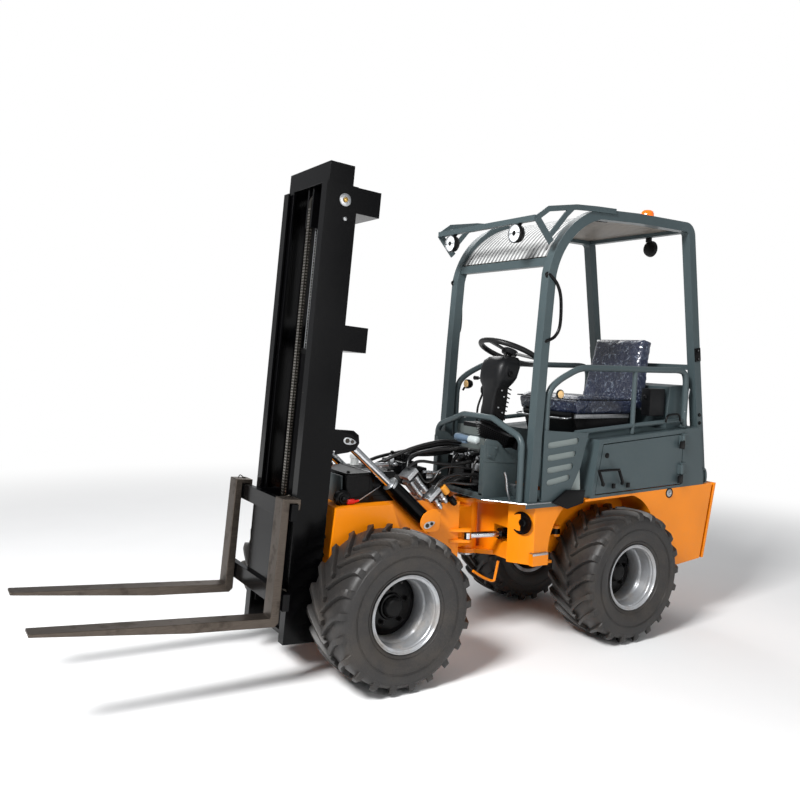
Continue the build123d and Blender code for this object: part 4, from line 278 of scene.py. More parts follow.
ORANGE = linear(236, 134, 6)
SLATE = linear(64, 76, 79)
CONSOLE_GREY = linear(62, 72, 74)
orange_paint = painted("orange_paint", ORANGE, 0.36, 0.12, dust=0.1, chips=0.5, peel=0.3)
slate_paint = painted("slate_paint", SLATE, 0.4, 0.1, dust=0.1, chips=0.2, peel=0.35)
dark_panel = painted("dark_panel", CONSOLE_GREY, 0.5, 0.1, dust=0.2, peel=0.5)
mast_black = painted(
    "mast_black",
    linear(4, 4, 5),
    0.2,
    0.03,
    dust=0.008,
    chips=0.6,
    under=linear(96, 88, 80),
    peel=0.25,
    shine=0.13,
)
satin_black = painted("satin_black", linear(6, 6, 7), 0.28, 0.03, dust=0.02, chips=0.2, shine=0.15)
running_black = painted("running_black", linear(26, 25, 24), 0.55, 0.0, dust=0.55)
engine_grey = painted("engine_grey", linear(66, 66, 64), 0.6, 0.0, dust=0.4)
moulded_black = painted("moulded_black", linear(18, 19, 21), 0.38, 0.02, dust=0.05, peel=0.8, shine=0.2)
wheel_black = painted("wheel_black", linear(22, 22, 23), 0.38, 0.0, dust=0.08, peel=0.6)
lamp_black = painted("lamp_black", linear(12, 12, 13), 0.33, 0.03, dust=0.08, peel=0.6, shine=0.2)


def bare_steel(name, colour, roughness, grain=(1, 1, 1), stain=0.3, scratch=0.15):
    """Bare or plated steel with fine drawn lines along one way and a few stains."""
    finish = Finish(name)
    lines = finish.noise(160, 3, 0.6, place=finish.stretch(grain))
    patches = finish.noise(14, 5, 0.6)
    spotted = finish.between(patches, 0.5, 0.72) * stain
    tone = finish.mix(finish.between(lines, 0.35, 0.65), tinted(colour, 0.82), tinted(colour, 1.12))
    tone = finish.mix(spotted, tone, tinted(colour, 0.35))
    gloss = finish.between(lines, 0.3, 0.7, roughness - 0.05, roughness + 0.08) + spotted * 0.3
    skin = finish.bump(lines, 0.0003, scratch)
    finish.set(colour=tone, roughness=gloss, metallic=1.0, normal=skin)
    return finish.material


chrome = bare_steel("chrome", linear(215, 217, 220), 0.1, stain=0.06, scratch=0.03)
zinc = bare_steel("zinc", linear(188, 190, 192), 0.33, stain=0.2)
oiled_steel = bare_steel("oiled_steel", linear(72, 68, 63), 0.4, stain=0.5)
worn_forks = bare_steel("worn_forks", linear(92, 84, 77), 0.44, (0.12, 3, 3), stain=0.55, scratch=0.4)


def silver_paint(name, colour, roughness):
    """Aluminium paint of the rims, a little metallic, dusty in its corners."""
    finish = Finish(name)
    patches = finish.noise(9, 5, 0.6)
    grain = finish.noise(420, 2, 0.5)
    low = finish.between(finish.axis("Z"), 0.5, 0.15)
    dirt = finish.between(patches, 0.42, 0.68) * (low * 0.5 + 0.3)
    tone = finish.mix(
        dirt, finish.mix(grain, tinted(colour, 0.9), tinted(colour, 1.08)), linear(120, 110, 98)
    )
    finish.set(
        colour=tone,
        roughness=dirt * 0.35 + roughness,
        metallic=finish.between(dirt, 0.1, 0.7, 0.55, 0.1),
        normal=finish.bump(grain, 0.0003, 0.15),
    )
    return finish.material


rim_silver = silver_paint("rim_silver", linear(172, 174, 177), 0.32)


def rubber(name, colour, roughness, dusty):
    finish = Finish(name)
    patches = finish.noise(7, 6, 0.62)
    fine = finish.noise(130, 4, 0.6)
    dirt = finish.between(patches * 0.7 + fine * 0.3, 0.42, 0.66) * dusty
    tone = finish.mix(dirt, tinted(colour, 0.8), linear(112, 98, 82))
    tone = finish.mix(finish.between(fine, 0.4, 0.7) * 0.3, tone, tinted(colour, 1.7))
    finish.set(colour=tone, roughness=roughness + dirt * 0.2, normal=finish.bump(fine, 0.0012, 0.4))
    return finish.material


tyre_rubber = rubber("tyre_rubber", linear(36, 34, 33), 0.5, 0.14)
hose_rubber = rubber("hose_rubber", linear(12, 12, 13), 0.3, 0.03)


def clear_lens(name, colour, roughness, glow=0.0):
    """Moulded lens with fine vertical flutes."""
    finish = Finish(name)
    flutes = (finish.axis("Y") * 900).wave() * 0.5 + 0.5
    tone = finish.mix(
        finish.between(finish.noise(30, 3), 0.3, 0.7), tinted(colour, 0.85), tinted(colour, 1.1)
    )
    finish.set(
        colour=tone,
        roughness=finish.between(flutes, 0, 1, roughness, roughness + 0.06),
        coat=0.6,
        coat_roughness=0.05,
    )
    finish.set(normal=finish.bump(flutes, 0.0008, 0.5))
    if glow:
        finish.set(emission_color=tone, emission_strength=glow)
    return finish.material


beacon_amber = clear_lens("beacon_amber", linear(250, 112, 8), 0.16, glow=0.35)
lamp_lens = clear_lens("lamp_lens", linear(232, 236, 238), 0.12, glow=0.12)
red_plastic = painted("red_plastic", linear(190, 22, 18), 0.35, 0.2, dust=0.1)
marker_lens = clear_lens("marker_lens", linear(214, 176, 120), 0.22, glow=0.05)
amber_reflector = clear_lens("amber_reflector", linear(235, 110, 20), 0.2)


def roof_finish():
    finish = Finish("roof_skin")
    patches = finish.noise(3.2, 5, 0.6)
    tone = finish.mix(finish.between(patches, 0.3, 0.7), linear(96, 88, 80), linear(124, 116, 106))
    below = finish.node("ShaderNodeNewGeometry", out="Normal")
    facing = finish.node("ShaderNodeSeparateXYZ", out="Z", Vector=below)
    ribs = (finish.axis("Y") * 210).wave() * 0.5 + 0.5
    # The sheet colour follows the ribs: painted highlight on the crests and painted shade in the troughs.
    sheet = finish.mix(finish.between(ribs, 0.3, 0.8), linear(122, 122, 122), linear(204, 205, 204))
    tone = finish.mix(finish.between(facing, -0.1, 0.1), tone, sheet)
    finish.set(colour=tone, roughness=finish.between(patches, 0.2, 0.8, 0.4, 0.55))
    finish.set(normal=finish.bump(ribs, 0.004, 0.8))
    return finish.material


roof_skin = roof_finish()


def seat_finish(name, colour):
    """Dark blue grained vinyl under a loose clear film, whose glints in the folds are painted into the colour as
    pale blue painted reflections.
    """
    finish = Finish(name)
    grain = finish.cells(520)
    folds = finish.noise(26, 5, 0.65, 2.2)
    shine = finish.between(folds, 0.56, 0.64)
    tone = finish.mix(
        finish.between(finish.noise(8, 4), 0.35, 0.65), tinted(colour, 0.75), tinted(colour, 1.25)
    )
    # Pale blue painted reflections of the clear film on the crests of the folds.
    tone = finish.mix(shine * 0.55, tone, linear(150, 164, 182))
    pitted = finish.bump(grain, 0.0008, 0.3)
    finish.set(
        colour=tone,
        roughness=finish.between(folds, 0.35, 0.65, 0.5, 0.22),
        coat=0.75,
        coat_roughness=0.12,
        normal=finish.bump(folds, 0.012, 0.75, below=pitted),
    )
    return finish.material


seat_vinyl = seat_finish("seat_vinyl", linear(26, 34, 58))

CAD_FINISHES = {
    "orange_paint": orange_paint,
    "slate_paint": slate_paint,
    "dark_panel": dark_panel,
    "mast_black": mast_black,
    "tank_black": satin_black,
    "cylinder_black": mast_black,
    "running_gear": running_black,
    "engine_grey": engine_grey,
    "chrome_rod": chrome,
    "bright_steel": zinc,
    "chain_steel": oiled_steel,
    "fork_steel": worn_forks,
    "rim_silver": rim_silver,
    "tyre_rubber": tyre_rubber,
    "roof_skin": roof_skin,
    "lamp_black": lamp_black,
    "beacon_amber": beacon_amber,
    "seat_black": satin_black,
    "seat_vinyl": seat_vinyl,
    "moulded_black": moulded_black,
    "wheel_black": wheel_black,
}
SLOT_OF = {row["node"]: row["material_slot"] for row in frame["record"]["subparts"]}
BODY_OF = {
    node: body for body, nodes in frame["record"]["behaviour"]["bodies"].items() for node in nodes
}
for node, thing in frame["nodes"].items():
    thing.data.materials.clear()
    thing.data.materials.append(CAD_FINISHES[SLOT_OF[node]])


# Shapes
def soften(mesh, angle=38):
    """Smooth faces with edges sharper than the angle kept crisp."""
    for face in mesh.polygons:
        face.use_smooth = True
    mesh.set_sharp_from_angle(angle=math.radians(angle))


def settle(thing):
    """The piece's modifiers made part of its mesh."""
    layer = bpy.context.evaluated_depsgraph_get()
    layer.update()
    made = bpy.data.meshes.new_from_object(thing.evaluated_get(layer))
    thing.modifiers.clear()
    thing.data = made
    return thing


def placed(name, mesh):
    """A new object at the origin that holds the mesh."""
    thing = bpy.data.objects.new(name, mesh)
    bpy.context.scene.collection.objects.link(thing)
    return thing


def mounted(thing, body, replaces=()):
    """The piece carried by a body, in place of CAD pieces if any."""
    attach(thing, body)
    if replaces:
        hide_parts(*replaces)
    return thing


def skinned(bm, rings, closed=False):
    """Faces from ring to ring, where a ring may be one point, and over the two ends."""
    sides = max(len(ring) for ring in rings)
    pairs = list(zip(rings, rings[1:]))
    if closed:
        pairs.append((rings[-1], rings[0]))
    made = []
    for first, second in pairs:
        for k in range(sides):
            n = (k + 1) % sides
            corners = dict.fromkeys(
                (
                    first[k % len(first)],
                    first[n % len(first)],
                    second[n % len(second)],
                    second[k % len(second)],
                )
            )
            if len(corners) > 2:
                made.append(bm.faces.new(list(corners)))
    if not closed:
        made += [bm.faces.new(ring) for ring in (rings[0], rings[-1]) if len(ring) > 1]
    bmesh.ops.recalc_face_normals(bm, faces=made)


def round_bevel(bm, edges, millimetres):
    bmesh.ops.bevel(
        bm, geom=edges, offset=millimetres / 1000, segments=2, profile=0.6, affect="EDGES"
    )


def circle(middle, side, other, radius, sides):
    """Places on a circle in millimetres across two directions."""
    turns = (math.tau * k / sides for k in range(sides))
    return [middle + (side * math.cos(a) + other * math.sin(a)) * radius / 1000 for a in turns]


class Shape:
    """Loose solids gathered into one mesh."""

    def __init__(self):
        self.bm = bmesh.new()

    def ring(self, places):
        return [self.bm.verts.new(place) for place in places]

    def slab(self, middle, size, axes=(FORWARD, LEFT, UP), bevel=0.0):
        """A block given by its middle, its sizes in millimetres and its three directions."""
        corners = []
        for k in (-1, 1):
            for i, j in ((-1, -1), (1, -1), (1, 1), (-1, 1)):
                offset = axes[0] * i * size[0] + axes[1] * j * size[1] + axes[2] * k * size[2]
                corners.append(self.bm.verts.new(middle + offset / 2000))
        faces = [(3, 2, 1, 0), (4, 5, 6, 7), (0, 1, 5, 4), (1, 2, 6, 5), (2, 3, 7, 6), (3, 0, 4, 7)]
        made = [self.bm.faces.new([corners[i] for i in face]) for face in faces]
        if axes[0].cross(axes[1]).dot(axes[2]) < 0:
            bmesh.ops.reverse_faces(self.bm, faces=made)
        if bevel:
            round_bevel(self.bm, list({edge for face in made for edge in face.edges}), bevel)
        return self

    def prism(self, outline, depth, bevel=0.0):
        """A flat outline of places pushed along a vector."""
        ring = self.ring(outline)
        other = self.ring([place + depth for place in outline])
        made = [self.bm.faces.new(ring), self.bm.faces.new(list(reversed(other)))]
        for i in range(len(ring)):
            j = (i + 1) % len(ring)
            made.append(self.bm.faces.new((ring[j], ring[i], other[i], other[j])))
        bmesh.ops.recalc_face_normals(self.bm, faces=made)
        if bevel:
            round_bevel(self.bm, list({edge for face in made[:2] for edge in face.edges}), bevel)
        return self

    def turned(self, centre, axis, profile, segments=32, closed=False):
        """A profile of (along, radius) in millimetres turned round an axis."""
        axis = axis.normalized()
        side = axis.orthogonal().normalized()
        other = axis.cross(side)
        rings = []
        for along, radius in profile:
            middle = centre + axis * along / 1000
            if radius > 0:
                rings.append(self.ring(circle(middle, side, other, radius, segments)))
            else:
                rings.append(self.ring([middle]))
        skinned(self.bm, rings, closed)
        return self

    def rod(self, start, end, radius, segments=20):
        length = (end - start).length * 1000
        return self.turned(start, end - start, [(0, radius), (length, radius)], segments)

    def tube(self, places, radius, sides=12, smooth=True, samples=8):
        """A round bar along places, on a smooth line when asked."""
        line = flowing(places, samples) if smooth else list(places)
        rings = []
        guide = None
        for k, place in enumerate(line):
            ahead = line[min(k + 1, len(line) - 1)] - line[max(k - 1, 0)]
            ahead.normalize()
            if guide is None:
                guide = ahead.orthogonal().normalized()
            guide = (guide - ahead * guide.dot(ahead)).normalized()
            size = radius[k] if isinstance(radius, (list, tuple)) else radius
            rings.append(self.ring(circle(place, guide, ahead.cross(guide), size, sides)))
        skinned(self.bm, rings)
        return self

    def lofted(self, sections):
        """Rounded sections of (centre, half depth, half width) joined one above the other."""
        sides, power = 40, 0.6
        rings = []
        for centre, depth, width in sections:
            ring = []
            for k in range(sides):
                c, n = math.cos(math.tau * k / sides), math.sin(math.tau * k / sides)
                x = math.copysign(abs(c) ** power, c) * depth / 1000
                y = math.copysign(abs(n) ** power, n) * width / 1000
                ring.append(centre + Vector((x, y, 0)))
            rings.append(self.ring(ring))
        skinned(self.bm, rings)
        return self

    def bolt(self, place, axis, across=16, height=8, washer=True, stud=0.0):
        """Hexagon head with a washer, standing on a surface."""
        axis = axis.normalized()
        if washer:
            self.turned(place, axis, [(0, across * 0.78), (2.2, across * 0.78), (2.2, 0)], 20)
        start = place + axis * (0.002 if washer else 0)
        self.turned(
            start,
            axis,
            [(0, across * 0.577), (height * 0.8, across * 0.577), (height, across * 0.47), (height, 0)],
            6,
        )
        if stud:
            self.turned(
                start,
                axis,
                [(height - 1, across * 0.3), (height + stud, across * 0.28), (height + stud, 0)],
                12,
            )
        return self

    def piece(self, name, body, material, slot, angle=38, replaces=()):
        mesh = bpy.data.meshes.new(name)
        self.bm.to_mesh(mesh)
        self.bm.free()
        mesh.materials.append(material)
        soften(mesh, angle)
        return mounted(placed(name, mesh), body, replaces)


def flowing(places, samples):
    """Places on a smooth line through the given ones."""
    if len(places) < 3:
        return list(places)
    ends = [places[0] * 2 - places[1], *places, places[-1] * 2 - places[-2]]
    line = []
    for a, b, c, d in zip(ends, ends[1:], ends[2:], ends[3:]):
        for k in range(samples):
            t = k / samples
            line.append(
                0.5
                * (
                    b * 2
                    + (c - a) * t
                    + (a * 2 - b * 5 + c * 4 - d) * t * t
                    + (b * 3 - a - c * 3 + d) * t * t * t
                )
            )
    line.append(places[-1])
    return line


def dressed(node, bevel):
    """A CAD piece with its edges broken as cut and welded steel has them."""
    source = frame["nodes"][node]
    bm = bmesh.new()
    bm.from_mesh(source.data)
    bmesh.ops.remove_doubles(bm, verts=bm.verts, dist=0.00002)
    bmesh.ops.dissolve_limit(
        bm, angle_limit=math.radians(0.6), verts=bm.verts, edges=bm.edges, delimit={"NORMAL"}
    )
    mesh = bpy.data.meshes.new(node + "_dressed")
    bm.to_mesh(mesh)
    bm.free()
    mesh.materials.append(CAD_FINISHES[SLOT_OF[node]])
    thing = placed(node + "_dressed", mesh)
    edge = thing.modifiers.new("edge", "BEVEL")
    edge.width = bevel / 1000
    edge.segments = 2
    edge.limit_method = "ANGLE"
    edge.angle_limit = math.radians(34)
    edge.use_clamp_overlap = True
    weighted = thing.modifiers.new("normals", "WEIGHTED_NORMAL")
    weighted.keep_sharp = True
    weighted.weight = 90
    soften(thing.data, 40)
    mounted(settle(thing), BODY_OF[node], (node,))


# Repeats, made with Geometry Nodes and turned into plain meshes
class Grower(Maker):
    """A Geometry Nodes tree with named inputs, ended by Realize Instances and Set Material."""

    def __init__(self, name, inputs, material):
        self.tree = bpy.data.node_groups.new(name, "GeometryNodeTree")
        face = self.tree.interface
        face.new_socket("Geometry", in_out="INPUT", socket_type="NodeSocketGeometry")
        self.keys = {}
        for label, kind, value in inputs:
            row = face.new_socket(label, in_out="INPUT", socket_type="NodeSocket" + kind)
            self.keys[label] = (row.identifier, value)
        face.new_socket("Geometry", in_out="OUTPUT", socket_type="NodeSocketGeometry")
        self.source = self.tree.nodes.new("NodeGroupInput")
        self.result = self.tree.nodes.new("NodeGroupOutput")
        self.material = material

    def given(self, label):
        return Wire(self.tree, self.source.outputs[label])

    def finish(self, instances):
        solid = self.node("GeometryNodeRealizeInstances", Geometry=instances)
        coloured = self.node("GeometryNodeSetMaterial", Geometry=solid, Material=self.material)
        self.tree.links.new(coloured.socket, self.result.inputs[0])

    def grow(self, shape, name, body, slot, angle=38):
        mesh = bpy.data.meshes.new(name)
        shape.bm.to_mesh(mesh)
        shape.bm.free()
        mesh.materials.append(self.material)
        thing = placed(name, mesh)
        modifier = thing.modifiers.new("repeat", "NODES")
        modifier.node_group = self.tree
        for identifier, value in self.keys.values():
            modifier[identifier] = value
        settle(thing)
        soften(thing.data, angle)
        mounted(thing, body)


def round_axle(name, material, count, centre, phase=0.0):
    """Tree that repeats a shape, drawn about the origin, round an axle along Y."""
    grower = Grower(
        name,
        [("Count", "Int", count), ("Centre", "Vector", tuple(centre)), ("Phase", "Float", phase)],
        material,
    )
    step = grower.node("GeometryNodeInputIndex") * math.tau / grower.given("Count")
    turn = grower.node("ShaderNodeCombineXYZ", Y=step + grower.given("Phase"))
    points = grower.node(
        "GeometryNodePoints", Count=grower.given("Count"), Position=grower.given("Centre")
    )
    copies = grower.node(
        "GeometryNodeInstanceOnPoints",
        Points=points,
        Instance=grower.given("Geometry"),
        Rotation=grower.node("FunctionNodeEulerToRotation", Euler=turn),
    )
    grower.finish(copies)
    return grower


def in_row(name, material, count, start, step):
    """Tree that repeats a shape, drawn about the origin, in a straight row."""
    grower = Grower(
        name,
        [("Count", "Int", count), ("Start", "Vector", tuple(start)), ("Step", "Vector", tuple(step))],
        material,
    )
    number = grower.node("GeometryNodeInputIndex")
    moved = grower.node(
        "ShaderNodeVectorMath", {"operation": "MULTIPLY_ADD"}, Vector=grower.given("Step")
    )
    row = moved.socket.node
    plug(grower.tree, row.inputs[1], number)
    plug(grower.tree, row.inputs[2], grower.given("Start"))
    points = grower.node("GeometryNodePoints", Count=grower.given("Count"), Position=moved)
    copies = grower.node(
        "GeometryNodeInstanceOnPoints", Points=points, Instance=grower.given("Geometry")
    )
    grower.finish(copies)
    return grower


# Wheels: carcass with its sidewall rings, chevron lugs, rim with its dish, hub and nuts
LUG_SWEEP = 0.35
LUG_COUNT = 21
CARCASS_HALF = [
    # across, radius
    (60, 320.5),
    (110, 318),
    (135, 312),
    (147, 301),
    (151.5, 290),
    (152, 262),
    (149, 225),
    (143, 200),
    (135, 182),
    (128, 168),
    (122, 153),
]
CARCASS = [(-across, radius) for across, radius in reversed(CARCASS_HALF)] + [(0, 321)] + CARCASS_HALF
SIDE_RINGS = (
    # radius, across, half width
    (172, 131.5, 2),
    (186, 138.5, 1.6),
    (247, 151.6, 1.4),
    (253, 151.8, 1.4),
    (290, 151.2, 3.5),
)


def tyre_lug(side):
    """One lug from the middle of the tread over the shoulder, curving back as it goes out."""
    shape = Shape()
    rows = (
        # across, radius at the foot, radius on top, half width at the foot, half width on top
        (-5, 316, 340.5, 13, 10),
        (8, 316, 342, 13.5, 10),
        (35, 316, 342, 13.5, 10.5),
        (65, 315, 341.5, 14, 11),
        (95, 313, 340.5, 14.5, 11.5),
        (120, 310, 338, 15.5, 12.5),
        (136, 304, 334, 17, 14),
        (146, 296, 326, 18, 15),
        (150, 288, 312, 18, 14),
    )
    rings = []
    for across, foot, top, foot_half, top_half in rows:
        share = min(max(across / 142, 0), 1)
        turn = -LUG_SWEEP * (1 - (1 - share) ** 1.35)
        ring = []
        for radius, half in ((foot, -foot_half), (top, -top_half), (top, top_half), (foot, foot_half)):
            angle = turn + half / radius
            y = side * min(across, 151)
            ring.append(Vector((math.sin(angle) * radius, y, math.cos(angle) * radius)) / 1000)
        rings.append(shape.ring(ring))
    skinned(shape.bm, rings)
    crest = [
        edge
        for edge in shape.bm.edges
        if sum(vert in ring[1:3] for ring in rings for vert in edge.verts) == 2
    ]
    round_bevel(shape.bm, crest, 2.2)
    return shape


RIM_PROFILE = (
    # along the axle, radius
    (-134.5, 164), (-134.5, 168), (-131, 169), (-128, 166), (-127, 152), (-60, 152), (-48, 140),
    (40, 140), (52, 152), (127, 152), (128, 166), (131, 169), (134.5, 168), (134.5, 165.5),
    (130, 163.5), (124, 158), (118, 151), (112, 148.5), (105, 149.5), (98, 147), (60, 145),
    (52, 140), (46, 134), (-50, 134), (-62, 146), (-130, 150),
)
DISH_PROFILE = (
    # along the axle, radius
    (-30, 134.6), (-22, 134.6), (-16, 122), (-6, 112), (0, 96), (0, 60), (-9, 60), (-9, 94),
    (-14, 106), (-24, 116),
)
HUB_PROFILE = ((-48, 61), (-2, 61), (2, 58), (12, 56), (14, 50), (26, 46), (34, 40), (37, 30), (37, 0))
WHEEL_NUTS = 5
NUT_CIRCLE = 0.078
WHEELS = (
    ("rear_left", REAR_AXLE, 1), ("rear_right", REAR_AXLE, -1), ("front_left", FRONT_AXLE, 1),
    ("front_right", FRONT_AXLE, -1),
)
for wheel, axle, side in WHEELS:
    hub = Vector((axle, side * WHEEL_MIDDLE, AXLE_HEIGHT))
    out = LEFT * side
    body = "wheel_" + wheel
    carcass = Shape()
    carcass.turned(hub, LEFT, CARCASS, 96, closed=True)
    for radius, across, size in SIDE_RINGS:
        ridge = [(across - 4, radius - size), (across + 0.9, radius), (across - 4, radius + size)]
        for face in (1, -1):
            carcass.turned(hub, out * face, ridge, 96, closed=True)
    carcass.piece("tyre_carcass_" + wheel, body, tyre_rubber, "tyre_rubber", 50, ("tyre_" + wheel,))
    for lug_name, lug_side, phase in (("left", 1, 0.0), ("right", -1, math.pi / LUG_COUNT)):
        lugs = round_axle("lugs", tyre_rubber, LUG_COUNT, hub, phase)
        lugs.grow(tyre_lug(lug_side), f"tyre_lugs_{lug_name}_{wheel}", body, "tyre_rubber", 44)
    rim = Shape()
    rim.turned(hub, out, RIM_PROFILE, 96, closed=True)
    rim.piece("rim_barrel_" + wheel, body, rim_silver, "rim_silver", 50, ("rim_" + wheel,))
    # The dish is silver like the rim; its black is painted shade of the rim's hollow.
    dish = Shape()
    dish.turned(hub, out, DISH_PROFILE, 72, closed=True)
    dish.piece("rim_disc_" + wheel, body, satin_black, "rim_silver", 40)
    # The hub and its nuts, silver like the rim, are drawn black as painted shade.
    hub_piece = Shape()
    hub_piece.turned(hub, out, HUB_PROFILE, 48)
    for k in range(WHEEL_NUTS):
        angle = math.tau * k / WHEEL_NUTS + 0.3
        spoke = FORWARD * math.cos(angle) + UP * math.sin(angle)
        hub_piece.bolt(hub + spoke * NUT_CIRCLE, out, 19, 15, True, 7)
    hub_piece.piece("rim_hub_" + wheel, body, satin_black, "rim_silver")
    valve = Shape()
    tip = hub + UP * 0.128 + out * 0.062
    valve.tube([tip - out * 0.03 + UP * 0.008, tip, tip + out * 0.022 - UP * 0.004], 4, 10)
    valve.piece("rim_valve_" + wheel, body, hose_rubber, "tyre_rubber")

# Cut and welded steel keeps slightly broken edges
for node, edge in (
    ("rear_frame", 2.0),
    ("tail_plate", 2.0),
    ("front_frame", 2.0),
    ("hood", 2.5),
    ("side_door_left", 3.0),
    ("side_door_right", 3.0),
    ("rear_cover", 2.0),
    ("floor_plate", 1.0),
    ("slot_panels", 1.0),
    ("canopy_frame", 5.0),
    ("lamp_bracket", 1.5),
    ("outer_mast", 2.5),
    ("inner_mast", 2.5),
    ("carriage", 2.5),
    ("fork_left", 3.0),
    ("fork_right", 3.0),
    ("front_tank", 2.0),
    ("seat_base", 3.0),
    ("seat_bracket", 2.0),
):
    dressed(node, edge)


# Hoses: each a round tube along a smooth line through the given places
def hose(name, diameter, places, body=None):
    data = bpy.data.curves.new(name, "CURVE")
    data.dimensions = "3D"
    spline = data.splines.new("NURBS")
    spline.points.add(len(places) - 1)
    for point, place in zip(spline.points, places):
        point.co = (*place, 1)
    spline.order_u = 3
    spline.use_endpoint_u = True
    spline.resolution_u = 10
    holder = placed(name + "_line", data)
    data.bevel_depth = diameter / 2000
    data.bevel_resolution = 3
    data.use_fill_caps = True
    layer = bpy.context.evaluated_depsgraph_get()
    layer.update()
    mesh = bpy.data.meshes.new_from_object(holder.evaluated_get(layer))
    bpy.data.objects.remove(holder)
    mesh.materials.clear()
    mesh.materials.append(hose_rubber)
    soften(mesh, 50)
    thing = placed(name, mesh)
    if body:
        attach(thing, body)
    else:
        at(770, 0, 900)
        at(1010, 0, 900)
        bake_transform(thing)


def plate(shape, outline, y, depth, bevel=0.8):
    """A plate lying fore and aft: an outline of (x, z) at a height y, pushed along Y."""
    shape.prism([at(x, y, z) for x, z in outline], LEFT * depth / 1000, bevel)


# Handrails, with the long bend at the front that the photograph shows
RAIL_ROUTE = (
    # x, z
    (508, 745), (510, 900), (512, 1060), (512, 1190), (509, 1248), (489, 1295), (440, 1334),
    (372, 1368), (318, 1389), (262, 1398), (160, 1399), (0, 1400), (-160, 1400), (-330, 1401),
    (-432, 1401), (-478, 1389), (-497, 1352), (-500, 1290), (-500, 1190), (-500, 1089),
)
RAIL_Y = 372
RAIL_RADIUS = 16.5
BAR_RADIUS = 12.5
SIDES = (("left", 1), ("right", -1))
for name, side in SIDES:
    rail = Shape()
    rail.tube([at(x, side * RAIL_Y, z) for x, z in RAIL_ROUTE], RAIL_RADIUS, 20, True, 6)
    rail.tube(
        route((-500, side * RAIL_Y, 1130), (-93, side * RAIL_Y, 1104), (312, side * RAIL_Y, 1073)),
        BAR_RADIUS,
        14,
        False,
    )
    rail.rod(at(-93, side * RAIL_Y, 1062), at(-93, side * RAIL_Y, 1392), BAR_RADIUS)
    for x, z in ((508, 745), (-500, 1089)):
        rail.slab(at(x, side * RAIL_Y, z + 3), (62, 44, 6), bevel=1.2)
        for step in (-22, 22):
            rail.bolt(at(x + step, side * RAIL_Y, z + 6), UP, 12, 7)
    rail.piece("handrail_tube_" + name, "rear", slate_paint, "slate_paint", 50, ("handrail_" + name,))

WHEEL_TURN = math.radians(22)
wheel_axis = Vector((-math.sin(WHEEL_TURN), 0, math.cos(WHEEL_TURN)))
wheel_side = Vector((math.cos(WHEEL_TURN), 0, math.sin(WHEEL_TURN)))

# Console: louvres under the hoop, its motor, open shell and moulded column
LOUVRES = 8
louvre_along = Vector((0, 0.284, -0.052)).normalized()
louvre_out = louvre_along.cross(FORWARD).normalized()
fins = Shape()
for k in range(LOUVRES):
    length = 284 - 9 * k
    middle = at(628, -10 + 4 * k, 1098 - 9.6 * k) + louvre_along * length / 2000
    fins.slab(middle, (46, length, 3.4), (FORWARD, louvre_along, louvre_out), 1.0)
fins.slab(at(600, 128, 1046), (8, 292, 78), (FORWARD, louvre_along, louvre_out), 2)
fins.piece("console_fins", "rear", satin_black, "moulded_black")
motor = Shape()
motor.turned(
    at(724, -66, 1016), LEFT, [(0, 15), (2, 19), (52, 19), (56, 16), (92, 16), (96, 14), (112, 14)], 28
)
motor.slab(at(706, -10, 996), (54, 70, 12), bevel=2)
motor.piece(
    "console_motor", "rear", painted("motor_blue", linear(86, 104, 122), 0.4, 0.1), "dark_panel"
)
cap = Shape()
cap.turned(at(724, 50, 1014), LEFT, [(0, 17), (3, 20), (60, 20), (66, 17), (70, 10), (70, 0)], 28)
cap.piece(
    "console_motor_cap", "rear", painted("cap_grey", linear(176, 184, 184), 0.42, 0.1), "bright_steel"
)
shell = Shape()
NEAR_SIDE = ((548, 742), (760, 742), (760, 1006), (748, 1036), (680, 1024), (551, 922))
for y in (210, -215):
    plate(shell, NEAR_SIDE, y, 5, 1)
shell.slab(at(614, 0, 1018), (4, 420, 12), bevel=1)
shell.slab(at(757, 0, 754), (6, 420, 24), bevel=1)
shell.slab(at(653, 0, 745), (210, 420, 5), bevel=1)
for y in (196, -196):
    shell.slab(at(757, y, 880), (6, 28, 250), bevel=1)
shell.piece("console_shell", "rear", dark_panel, "dark_panel", 38, ("console",))
inside = Shape()
inside.slab(at(600, 0, 850), (60, 400, 190), bevel=8)
inside.slab(at(660, 90, 800), (70, 120, 96), bevel=8)
inside.slab(at(664, -90, 836), (80, 150, 150), bevel=10)
inside.turned(at(640, 20, 900), FORWARD, [(0, 44), (60, 44), (66, 36), (66, 0)], 32)
inside.turned(at(650, 130, 960), FORWARD, [(0, 30), (50, 30), (56, 22), (56, 0)], 32)
inside.piece("console_inside", "rear", satin_black, "tank_black")
column = Shape()
column.lofted(
    [
        (at(574, 0, 1030), 36, 48), (at(562, 0, 1120), 38, 50), (at(548, 0, 1210), 42, 54),
        (at(538, 0, 1270), 48, 62), (at(528, 0, 1306), 66, 88), (at(520, 0, 1330), 74, 96),
        (at(508, 0, 1385), 78, 100), (at(498, 0, 1416), 74, 94), (at(490, 0, 1434), 58, 76),
        (at(488, 0, 1440), 40, 50),
    ],
)
column.piece("column_cover", "rear", moulded_black, "moulded_black", 60, ("steering_column",))
gloss = Shape()
plate(
    gloss,
    (
        (600, 1050), (540, 1050), (520, 1130), (508, 1220), (504, 1296), (560, 1300), (580, 1230),
        (590, 1140),
    ),
    54,
    14,
    4,
)
for k in range(9):
    gloss.slab(at(548 - 5 * k, 68, 1100 + 22 * k), (52, 5, 7), (wheel_side, LEFT, wheel_axis), 1.2)
gloss.piece("column_side", "rear", satin_black, "moulded_black")
side_plate = Shape()
plate(side_plate, ((748, 1006), (676, 998), (684, 966), (700, 930), (746, 944)), 215.5, 3)
side_plate.bolt(at(690, 218.5, 990), LEFT, 10, 5)
side_plate.bolt(at(728, 218.5, 950), LEFT, 10, 5)
